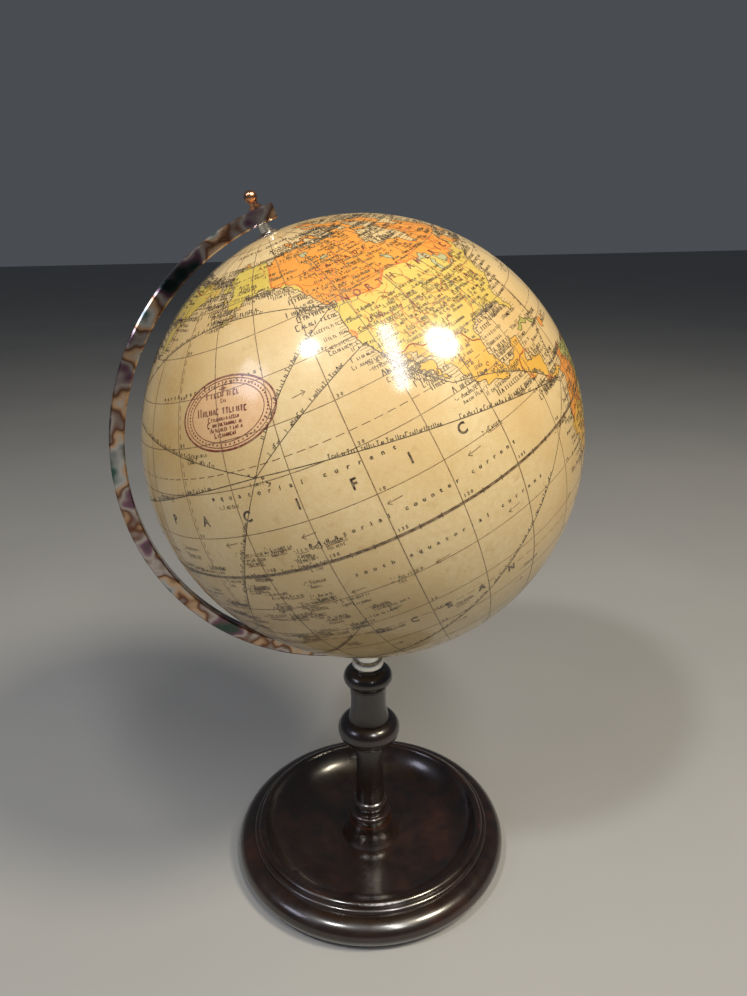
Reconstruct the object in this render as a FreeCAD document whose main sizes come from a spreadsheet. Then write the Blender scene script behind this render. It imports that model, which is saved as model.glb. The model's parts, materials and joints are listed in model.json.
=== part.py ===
import FreeCAD, Part
import math
import os
import re
import Sketcher

# Desktop globe on a turned wooden stand, in millimetres.
# Origin: centre of the underside of the base. +Z is up. The half-meridian arm lies in the XZ plane,
# with its belly on the -X side, and the north pole leans towards -X.

doc = FreeCAD.newDocument("DesktopGlobe")
sheet = doc.addObject("Spreadsheet::Sheet", "Sizes")

SIZES = {
    # Globe ball. Distances along the polar axis are measured from the centre of the ball.
    "GlobeRadius": 101.6,
    "GlobeHeight": 239.8,
    "TiltAngle": 23.5,
    "PaperThickness": 0.3,
    "ShellThickness": 3.0,
    "GoreSweep": 30,
    "GoreStart": 3.26,
    "CalotteLatitude": 82,
    "HoopHalfHeight": 9,
    "HoopInside": 94.5,
    "DowelRadius": 9.5,
    "BlockRadius": 16,
    "BlockInnerEnd": 84,
    # Pivots at the two poles.
    "PinRadius": 1.6,
    "PinTipRadius": 1.1,
    "PinInnerEnd": 88,
    "PinShoulder": 110,
    "PinTipEnd": 117,
    "RunningClearance": 0.05,
    "BushRadius": 3.2,
    "BushInnerEnd": 86,
    "CapRadius": 5.75,
    "CapBore": 2.35,
    "CapTop": 102.75,
    "CapEdgeHeight": 0.35,
    "SpacerRadius": 2.6,
    "SpacerGap": 0.3,
    "WasherRadius": 2.8,
    "WasherHeight": 1.1,
    "BallRadius": 2.75,
    "BallHeight": 117.6,
    "BallNeckRadius": 1.8,
    "CapNutRadius": 3.2,
    "CapNutHeight": 2.4,
    # Half-meridian arm: a bevelled square bar bent to an arc.
    "ArmOuterRadius": 112.8,
    "ArmWidth": 6.4,
    "ArmThickness": 6.4,
    "ArmBevel": 0.7,
    "ArmOffset": 2.2,
    "ArmOverhang": 4.5,
    # Tie rod with its washer and nut.
    "RodRadius": 2.0,
    "RodHoleRadius": 2.2,
    "RodBottom": 2.6,
    "RodTop": 131.8,
    "CounterboreRadius": 8.5,
    "CounterboreTop": 7.0,
    "TieWasherRadius": 7.0,
    "TieWasherHeight": 1.0,
    "TieNutCircumradius": 4.05,
    "TieNutHeight": 2.4,
    # Base, from the outer torus inwards.
    "PadRadius": 68,
    "PadHeight": 1.5,
    "BaseFootRadius": 70,
    "BaseRadius": 75.4,
    "BaseWidestHeight": 7.8,
    "TorusTopRadius": 67.3,
    "TorusTopHeight": 14.9,
    "QuirkRadius": 66.2,
    "QuirkHeight": 15.3,
    "StepRadius": 64.7,
    "StepHeight": 17.1,
    "LipOuterRadius": 63.6,
    "LipInnerRadius": 59.7,
    "LipHeight": 18.0,
    "FloorRadius": 45.0,
    "FloorHeight": 6.0,
    "BossFootRadius": 16.4,
    "BossTopRadius": 12.3,
    "BossTopHeight": 17.4,
    "TenonRadius": 6.0,
    # Column, from the bottom upwards. A ring is given by its root radius, its two heights and its round.
    "LowRingRoot": 10.9,
    "LowRingBottom": 18.2,
    "LowRingTop": 22.7,
    "LowRingRound": 2.8,
    "FootRingRoot": 8.9,
    "FootRingBottom": 25.8,
    "FootRingTop": 30.0,
    "FootRingRound": 2.9,
    "ShaftFootRadius": 8.2,
    "ShaftNeckRadius": 7.1,
    "ShaftNeckHeight": 65.6,
    "MidRingRoot": 10.3,
    "MidRingBottom": 68.0,
    "MidRingTop": 70.2,
    "MidRingRound": 1.3,
    "BulbFootRadius": 11.0,
    "BulbRadius": 16.85,
    "BulbHeight": 77.0,
    "BulbShoulderRadius": 11.2,
    "BulbShoulderHeight": 84.6,
    "NeckRadius": 9.6,
    "NeckHeight": 93.7,
    "TopRingRoot": 9.9,
    "TopRingBottom": 103.6,
    "TopRingTop": 105.7,
    "TopRingRound": 1.3,
    "BeadRadius": 13.2,
    "BeadHeight": 110.2,
    "ColumnTopRadius": 8.6,
    "ColumnTopHeight": 115.6,
    # Ferrule.
    "FerruleFootRadius": 7.7,
    "FerruleRadius": 8.4,
    "FerruleWidestHeight": 118.2,
    "FerruleNeckRadius": 6.6,
    "FerruleDrumHeight": 120.8,
    "FerruleTopHeight": 127.6,
}

for row, (name, number) in enumerate(SIZES.items(), start=1):
    sheet.set(f"A{row}", name)
    sheet.set(f"B{row}", str(number))
    sheet.setAlias(f"B{row}", name)
doc.recompute()

# Kinds of curved edge in an outline: a round swells out of the solid, a cove is hollowed into it.
ROUND = 1
COVE = -1

# Outlines are (distance from the axis, height) corners, counter-clockwise round the material.
# A corner with four items starts a curved edge: its radius and its kind come last.


def on_sheet(expression):
    """Point every size name in an expression at its cell in the sheet."""
    return re.sub(r"\b([A-Z]\w+)", r"Sizes.\1", expression)


def size(expression):
    """Work out an expression of sheet sizes as a plain number."""
    return float(sheet.evalExpression(on_sheet(expression)))


def about_y(angle, x="0", z="0"):
    """Placement expression: turned about the Y axis, then moved to x, z."""
    return on_sheet(f"placement(vector({x}; 0; {z}); rotation(vector(0; 1; 0); {angle}))")


UPRIGHT = about_y("0")
POLES = {
    "north": about_y("-TiltAngle", z="GlobeHeight"),
    "south": about_y("180 - TiltAngle", z="GlobeHeight"),
}


def origin_plane(body, role):
    """Find one of the body's own origin planes by its role."""
    return next(feature for feature in body.Origin.OriginFeatures if feature.Role == role)


def constrain(sketch, name, expression, kind, *where):
    """Add a dimension to a sketch and bind it to the sheet."""
    index = sketch.addConstraint(Sketcher.Constraint(kind, *where, size(expression)))
    sketch.renameConstraint(index, name)
    sketch.setExpression(f"Constraints.{name}", on_sheet(expression))


def curved_edge(start, finish, radius, kind):
    """Arc between two corners, with its centre on the left of the way for a round."""
    way = finish - start
    middle = (start + finish) * 0.5
    left = FreeCAD.Vector(-way.y, way.x, 0) / way.Length
    centre = middle + left * kind * math.sqrt(radius ** 2 - (way.Length / 2) ** 2)
    first, last = (start, finish) if kind == ROUND else (finish, start)
    angles = [math.atan2(point.y - centre.y, point.x - centre.x) for point in (first, last)]
    return Part.ArcOfCircle(Part.Circle(centre, FreeCAD.Vector(0, 0, 1), radius), *angles)


def draw_outline(sketch, outline):
    """Draw a closed outline, with each corner and radius bound to the sheet."""
    corners = [FreeCAD.Vector(size(corner[0]), size(corner[1]), 0) for corner in outline]
    ends = []
    for index, corner in enumerate(outline):
        start = corners[index]
        finish = corners[(index + 1) % len(corners)]
        if len(corner) == 2:
            sketch.addGeometry(Part.LineSegment(start, finish))
            ends.append((1, 2))
            continue
        radius, kind = corner[2:]
        sketch.addGeometry(curved_edge(start, finish, size(radius), kind))
        ends.append((1, 2) if kind == ROUND else (2, 1))
    for index, corner in enumerate(outline):
        following = (index + 1) % len(outline)
        joined = Sketcher.Constraint("Coincident", index, ends[index][1], following, ends[following][0])
        sketch.addConstraint(joined)
        constrain(sketch, f"x{index}", corner[0], "DistanceX", -1, 1, index, ends[index][0])
        constrain(sketch, f"y{index}", corner[1], "DistanceY", -1, 1, index, ends[index][0])
        if len(corner) == 4:
            constrain(sketch, f"r{index}", corner[2], "Radius", index)


def turned(label, outline, placement=UPRIGHT, sweep="360", plane="XZ_Plane", axis="V_Axis"):
    """Body made by turning an outline about an axis of its sketch."""
    body = doc.addObject("PartDesign::Body", label)
    body.Label = label
    sketch = body.newObject("Sketcher::SketchObject", f"{label}_outline")
    sketch.AttachmentSupport = [(origin_plane(body, plane), "")]
    sketch.MapMode = "FlatFace"
    draw_outline(sketch, outline)
    sketch.Visibility = False
    revolution = body.newObject("PartDesign::Revolution", f"{label}_turning")
    revolution.Profile = sketch
    revolution.ReferenceAxis = (sketch, [axis])
    revolution.setExpression("Angle", on_sheet(sweep))
    body.setExpression("Placement", placement)
    return body


def collar(label, inside, outside, bottom, top, placement=UPRIGHT):
    """Plain ring of rectangular section, such as a washer or a spacer."""
    outline = [(inside, bottom), (outside, bottom), (outside, top), (inside, top)]
    return turned(label, outline, placement)


def rod(label, radius, bottom, top, placement=UPRIGHT):
    """Plain cylinder along the axis of its placement, from bottom to top."""
    cylinder = doc.addObject("Part::Cylinder", label)
    cylinder.Label = label
    cylinder.setExpression("Radius", on_sheet(radius))
    cylinder.setExpression("Height", on_sheet(f"{top} - ({bottom})"))
    lift = on_sheet(f"placement(vector(0; 0; {bottom}); rotation(vector(0; 0; 1); 0))")
    cylinder.setExpression("Placement", f"{placement} * {lift}")
    return cylinder


def hexagon(label, circumradius, bottom, height, placement=UPRIGHT):
    """Six-sided prism for a nut."""
    prism = doc.addObject("Part::Prism", label)
    prism.Polygon = 6
    prism.setExpression("Circumradius", on_sheet(circumradius))
    prism.setExpression("Height", on_sheet(height))
    lift = on_sheet(f"placement(vector(0; 0; {bottom}); rotation(vector(0; 0; 1); 0))")
    prism.setExpression("Placement", f"{placement} * {lift}")
    return prism


def cut(label, base, tools):
    """The base with every tool cut out of it."""
    tool = tools[0]
    if len(tools) > 1:
        tool = doc.addObject("Part::MultiFuse", f"{label}_tools")
        tool.Shapes = tools
    result = doc.addObject("Part::Cut", label)
    result.Label = label
    result.Base = base
    result.Tool = tool
    return result


# ---- Base and its pad -------------------------------------------------------------------------

base = turned("base", [
    ("CounterboreRadius", "PadHeight"),
    ("BaseFootRadius", "PadHeight", "7", ROUND),
    ("BaseRadius", "BaseWidestHeight", "8", ROUND),
    ("TorusTopRadius", "TorusTopHeight"),
    ("QuirkRadius", "TorusTopHeight"),
    ("QuirkRadius", "QuirkHeight", "2", ROUND),
    ("StepRadius", "StepHeight"),
    ("LipOuterRadius", "StepHeight"),
    ("LipOuterRadius", "LipHeight", "2.3", ROUND),
    ("LipInnerRadius", "LipHeight", "22", COVE),
    ("FloorRadius", "FloorHeight"),
    ("BossFootRadius", "FloorHeight", "16", COVE),
    ("BossTopRadius", "BossTopHeight"),
    ("TenonRadius", "BossTopHeight"),
    ("TenonRadius", "CounterboreTop"),
    ("CounterboreRadius", "CounterboreTop"),
])
base_pad = rod("base_pad", "PadRadius", "0", "PadHeight")

# ---- Column, from its lower tenon to the face under the ferrule --------------------------------

column = turned("column", [
    ("RodHoleRadius", "CounterboreTop"),
    ("TenonRadius", "CounterboreTop"),
    ("TenonRadius", "BossTopHeight"),
    ("LowRingRoot", "BossTopHeight"),
    ("LowRingRoot", "LowRingBottom", "LowRingRound", ROUND),
    ("LowRingRoot", "LowRingTop"),
    ("FootRingRoot", "LowRingTop + 0.5", "4", COVE),
    ("FootRingRoot", "FootRingBottom", "FootRingRound", ROUND),
    ("FootRingRoot", "FootRingTop"),
    ("ShaftFootRadius", "FootRingTop + 0.5"),
    ("ShaftNeckRadius", "ShaftNeckHeight", "3.2", COVE),
    ("MidRingRoot - 0.6", "MidRingBottom"),
    ("MidRingRoot", "MidRingBottom", "MidRingRound", ROUND),
    ("MidRingRoot", "MidRingTop"),
    ("BulbFootRadius", "MidRingTop", "7", ROUND),
    ("BulbRadius", "BulbHeight", "7", ROUND),
    ("BulbShoulderRadius", "BulbShoulderHeight", "30", COVE),
    ("NeckRadius", "NeckHeight", "90", COVE),
    ("TopRingRoot", "TopRingBottom", "TopRingRound", ROUND),
    ("TopRingRoot", "TopRingTop"),
    ("TopRingRoot + 0.6", "TopRingTop", "5.4", ROUND),
    ("BeadRadius", "BeadHeight", "5.4", ROUND),
    ("ColumnTopRadius", "ColumnTopHeight - 0.4"),
    ("ColumnTopRadius", "ColumnTopHeight"),
    ("RodHoleRadius", "ColumnTopHeight"),
])

# ---- Half-meridian arm -------------------------------------------------------------------------
# The bar's section is turned about the Y axis. Its arc is centred a little towards the belly from
# the centre of the ball, so that the ball has more room at the belly than at the poles.

arm_place = about_y(
    "-180 - TiltAngle - ArmOverhang",
    x="-ArmOffset * cos(TiltAngle)",
    z="GlobeHeight - ArmOffset * sin(TiltAngle)",
)
ARM_INSIDE = "ArmOuterRadius - ArmWidth"
arm_blank = turned("meridian_arm_blank", [
    ("-ArmThickness / 2 + ArmBevel", ARM_INSIDE),
    ("ArmThickness / 2 - ArmBevel", ARM_INSIDE),
    ("ArmThickness / 2", f"{ARM_INSIDE} + ArmBevel"),
    ("ArmThickness / 2", "ArmOuterRadius - ArmBevel"),
    ("ArmThickness / 2 - ArmBevel", "ArmOuterRadius"),
    ("-ArmThickness / 2 + ArmBevel", "ArmOuterRadius"),
    ("-ArmThickness / 2", "ArmOuterRadius - ArmBevel"),
    ("-ArmThickness / 2", f"{ARM_INSIDE} + ArmBevel"),
], arm_place, "180 + 2 * ArmOverhang", "YZ_Plane", "H_Axis")

arm_holes = [rod("arm_rod_hole", "RodRadius", "ColumnTopHeight", "RodTop + ArmWidth")]
for pole, place in POLES.items():
    arm_holes.append(rod(f"{pole}_arm_hole", "PinRadius", "GlobeRadius", "PinShoulder", place))
    arm_holes.append(rod(f"{pole}_arm_tip_hole", "PinTipRadius", "GlobeRadius", "PinTipEnd", place))
meridian_arm = cut("meridian_arm", arm_blank, arm_holes)

# ---- Ferrule, saddled over the arm, and the tie rod --------------------------------------------

ferrule_blank = turned("column_ferrule_blank", [
    ("RodRadius", "ColumnTopHeight"),
    ("FerruleFootRadius", "ColumnTopHeight", "6", ROUND),
    ("FerruleRadius", "FerruleWidestHeight", "7", ROUND),
    ("FerruleRadius - 0.5", "FerruleDrumHeight"),
    ("FerruleNeckRadius", "FerruleDrumHeight + 0.3"),
    ("FerruleNeckRadius", "FerruleTopHeight"),
    ("RodRadius", "FerruleTopHeight"),
])
column_ferrule = cut("column_ferrule", ferrule_blank, [arm_blank])

tie_rod = rod("tie_rod", "RodRadius", "RodBottom", "RodTop")
WASHER_BOTTOM = "CounterboreTop - TieWasherHeight"
tie_washer = collar("tie_washer", "RodHoleRadius", "TieWasherRadius", WASHER_BOTTOM, "CounterboreTop")
NUT_BOTTOM = f"{WASHER_BOTTOM} - TieNutHeight"
tie_nut_blank = hexagon("tie_nut_blank", "TieNutCircumradius", NUT_BOTTOM, "TieNutHeight")
tie_nut_bore = rod("tie_nut_bore", "RodRadius", "0", "CounterboreTop")
tie_nut = cut("tie_nut", tie_nut_blank, [tie_nut_bore])

pieces = [base, base_pad, column, column_ferrule, tie_rod, tie_washer, tie_nut, meridian_arm]

# ---- What is the same at both poles ------------------------------------------------------------

PAPER_INSIDE = "GlobeRadius - PaperThickness"
SHELL_INSIDE = f"{PAPER_INSIDE} - ShellThickness"
WASHER_TOP = "ArmOuterRadius + WasherHeight"


def on_sphere(radius, distance):
    """Height at which a sphere stands above a distance from the axis."""
    return f"sqrt(({radius}) ^ 2 - ({distance}) ^ 2)"


def at_latitude(radius, latitude):
    """Corner on a sphere at a latitude."""
    return f"({radius}) * cos({latitude})", f"({radius}) * sin({latitude})"


# The spacer stops where its edge meets the arm's hollow side.
SPACER_TOP = on_sphere(ARM_INSIDE, "ArmOffset + SpacerRadius")

for pole, place in POLES.items():
    shell = turned(f"{pole}_shell", [
        (SHELL_INSIDE, "0"),
        (PAPER_INSIDE, "0", PAPER_INSIDE, ROUND),
        ("BlockRadius", on_sphere(PAPER_INSIDE, "BlockRadius")),
        ("BlockRadius", on_sphere(SHELL_INSIDE, "BlockRadius"), SHELL_INSIDE, COVE),
    ], place)
    block = turned(f"{pole}_block", [
        ("0", "BlockInnerEnd"),
        ("BlockRadius", "BlockInnerEnd"),
        ("BlockRadius", on_sphere(PAPER_INSIDE, "BlockRadius"), PAPER_INSIDE, ROUND),
        ("BushRadius", on_sphere(PAPER_INSIDE, "BushRadius")),
        ("BushRadius", "BushInnerEnd"),
        ("0", "BushInnerEnd"),
    ], place)
    bush = collar(f"{pole}_bush", "PinRadius + RunningClearance", "BushRadius",
                  "BushInnerEnd", on_sphere(PAPER_INSIDE, "BushRadius"), place)
    calotte = turned(f"{pole}_calotte", [
        at_latitude(PAPER_INSIDE, "CalotteLatitude"),
        (*at_latitude("GlobeRadius", "CalotteLatitude"), "GlobeRadius", ROUND),
        ("BushRadius", on_sphere("GlobeRadius", "BushRadius")),
        ("BushRadius", on_sphere(PAPER_INSIDE, "BushRadius"), PAPER_INSIDE, COVE),
    ], place)
    cap = turned(f"{pole}_polar_cap", [
        ("CapBore", on_sphere("GlobeRadius", "BushRadius")),
        ("BushRadius", on_sphere("GlobeRadius", "BushRadius"), "GlobeRadius", COVE),
        ("CapRadius", on_sphere("GlobeRadius", "CapRadius")),
        ("CapRadius", f"{on_sphere('GlobeRadius', 'CapRadius')} + CapEdgeHeight", "4", ROUND),
        ("CapRadius - 1.8", "CapTop"),
        ("CapBore", "CapTop"),
    ], place)
    pin = turned(f"{pole}_pin", [
        ("0", "PinInnerEnd"),
        ("PinRadius", "PinInnerEnd"),
        ("PinRadius", "PinShoulder"),
        ("PinTipRadius", "PinShoulder"),
        ("PinTipRadius", "PinTipEnd"),
        ("0", "PinTipEnd"),
    ], place)
    spacer = collar(f"{pole}_spacer", "PinRadius", "SpacerRadius", "CapTop + SpacerGap", SPACER_TOP, place)
    washer = collar(f"{pole}_washer", "PinTipRadius", "WasherRadius", "ArmOuterRadius", WASHER_TOP, place)
    pieces += [shell, block, bush, calotte, cap, pin, spacer, washer]

# ---- The two different nuts --------------------------------------------------------------------

NUT_BORE_TOP = "PinTipEnd + 0.2"
north_ball_nut = turned("north_ball_nut", [
    ("PinTipRadius", WASHER_TOP),
    ("BallNeckRadius", WASHER_TOP),
    ("BallNeckRadius", "BallHeight - sqrt(BallRadius ^ 2 - BallNeckRadius ^ 2)", "BallRadius", ROUND),
    ("0", "BallHeight + BallRadius"),
    ("0", NUT_BORE_TOP),
    ("PinTipRadius", NUT_BORE_TOP),
], POLES["north"])

cap_nut_hexagon = hexagon("cap_nut_hexagon", "CapNutRadius", WASHER_TOP, "CapNutHeight", POLES["south"])
cap_nut_dome = turned("cap_nut_dome", [
    ("0", WASHER_TOP),
    ("CapNutRadius * 0.8", WASHER_TOP),
    ("CapNutRadius * 0.8", f"{WASHER_TOP} + CapNutHeight", "CapNutRadius * 0.8", ROUND),
    ("0", f"{WASHER_TOP} + CapNutHeight + CapNutRadius * 0.8"),
], POLES["south"])
cap_nut_blank = doc.addObject("Part::Fuse", "cap_nut_blank")
cap_nut_blank.Base = cap_nut_hexagon
cap_nut_blank.Tool = cap_nut_dome
cap_nut_bore = rod("cap_nut_bore", "PinTipRadius", "ArmOuterRadius", NUT_BORE_TOP, POLES["south"])
south_cap_nut = cut("south_cap_nut", cap_nut_blank, [cap_nut_bore])
pieces += [north_ball_nut, south_cap_nut]

# ---- Inside of the ball: joining hoop and dowel -------------------------------------------------

equator_hoop = turned("equator_hoop", [
    ("HoopInside", "-HoopHalfHeight"),
    (on_sphere(SHELL_INSIDE, "HoopHalfHeight"), "-HoopHalfHeight", SHELL_INSIDE, ROUND),
    (on_sphere(SHELL_INSIDE, "HoopHalfHeight"), "HoopHalfHeight"),
    ("HoopInside", "HoopHalfHeight"),
], POLES["north"])
axis_dowel = rod("axis_dowel", "DowelRadius", "-BlockInnerEnd", "BlockInnerEnd", POLES["north"])
pieces += [equator_hoop, axis_dowel]

# ---- Twelve printed paper gores, each a lune of thin paper --------------------------------------

GORE_COUNT = 12
for index in range(GORE_COUNT):
    turn = on_sheet(f"placement(vector(0; 0; 0); rotation(vector(0; 0; 1); {index} * GoreSweep + GoreStart))")
    gore = turned(f"gore_{index + 1:02d}", [
        at_latitude(PAPER_INSIDE, "-CalotteLatitude"),
        (*at_latitude("GlobeRadius", "-CalotteLatitude"), "GlobeRadius", ROUND),
        at_latitude("GlobeRadius", "CalotteLatitude"),
        (*at_latitude(PAPER_INSIDE, "CalotteLatitude"), PAPER_INSIDE, COVE),
    ], f"{POLES['north']} * {turn}", "GoreSweep")
    pieces.append(gore)

doc.recompute()

# ---- Check every object, then write one file for each piece ------------------------------------

for item in doc.Objects:
    if "Invalid" in item.State or "Error" in item.State:
        raise RuntimeError(f"{item.Label} did not recompute: {item.State}")
for piece in pieces:
    if piece.Shape.isNull() or not piece.Shape.isValid():
        raise RuntimeError(f"{piece.Label} has no valid shape")
    if len(piece.Shape.Solids) != 1:
        raise RuntimeError(f"{piece.Label} is not one solid")

os.makedirs("parts", exist_ok=True)
for piece in pieces:
    piece.Shape.exportStep(f"parts/{piece.Label}.step")
    box = piece.Shape.BoundBox
    print(f"{piece.Label:18} volume {piece.Shape.Volume:10.1f}  z {box.ZMin:7.2f} to {box.ZMax:7.2f}")
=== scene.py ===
import json
import math
import random
import bpy
import numpy as np
from mathutils import Matrix, Vector, noise
from mathutils.geometry import delaunay_2d_cdt


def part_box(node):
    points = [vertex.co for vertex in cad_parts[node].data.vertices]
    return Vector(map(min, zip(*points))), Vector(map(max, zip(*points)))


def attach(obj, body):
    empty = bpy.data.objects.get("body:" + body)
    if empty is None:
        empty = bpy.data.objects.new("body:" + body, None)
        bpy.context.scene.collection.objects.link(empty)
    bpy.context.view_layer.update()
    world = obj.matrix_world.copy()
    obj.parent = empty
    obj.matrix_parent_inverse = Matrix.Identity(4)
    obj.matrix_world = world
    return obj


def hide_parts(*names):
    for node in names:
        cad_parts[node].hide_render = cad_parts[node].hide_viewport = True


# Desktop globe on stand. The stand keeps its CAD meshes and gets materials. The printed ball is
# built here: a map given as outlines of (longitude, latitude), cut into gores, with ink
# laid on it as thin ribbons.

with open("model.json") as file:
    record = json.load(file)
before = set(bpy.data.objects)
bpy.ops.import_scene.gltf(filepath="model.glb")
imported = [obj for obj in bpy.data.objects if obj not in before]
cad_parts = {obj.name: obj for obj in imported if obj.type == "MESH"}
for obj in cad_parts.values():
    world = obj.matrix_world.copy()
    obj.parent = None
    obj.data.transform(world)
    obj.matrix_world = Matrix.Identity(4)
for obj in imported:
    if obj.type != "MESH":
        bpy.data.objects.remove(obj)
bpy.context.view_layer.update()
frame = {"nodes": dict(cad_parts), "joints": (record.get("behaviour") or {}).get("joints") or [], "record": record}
MM = 0.001

# ---- The ball's own frame -----------------------------------------------------------------------

spin = frame["joints"][0]
CENTRE = Vector(spin["pos_m"])
POLE = Vector(spin["axis"]).normalized()
ZERO_TURN = 123.26            # degrees from the front mark to the zero meridian
FRONT = Vector((0, -1, 0))
SIDE = POLE.cross(FRONT)
CALOTTE = 82                  # latitude at which the gores end
GORE = 30                     # degrees of longitude in a gore
GORES = 360 // GORE
RADIUS = max(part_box(f"gore_{number:02d}")[1][1] for number in range(1, GORES + 1))


def direction(lon, lat):
    """Unit vector from the ball's centre to a place on the map."""
    turn = math.radians(lon + ZERO_TURN)
    up = math.radians(lat)
    level = FRONT * math.cos(turn) + SIDE * math.sin(turn)
    return level * math.cos(up) + POLE * math.sin(up)


def surface(way, lift=0.0):
    """Point on the ball in a direction, lifted by so many millimetres."""
    return CENTRE + way * (RADIUS + lift * MM)


# ---- The map: outlines as "longitude,latitude" corners ------------------------------------------

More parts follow.
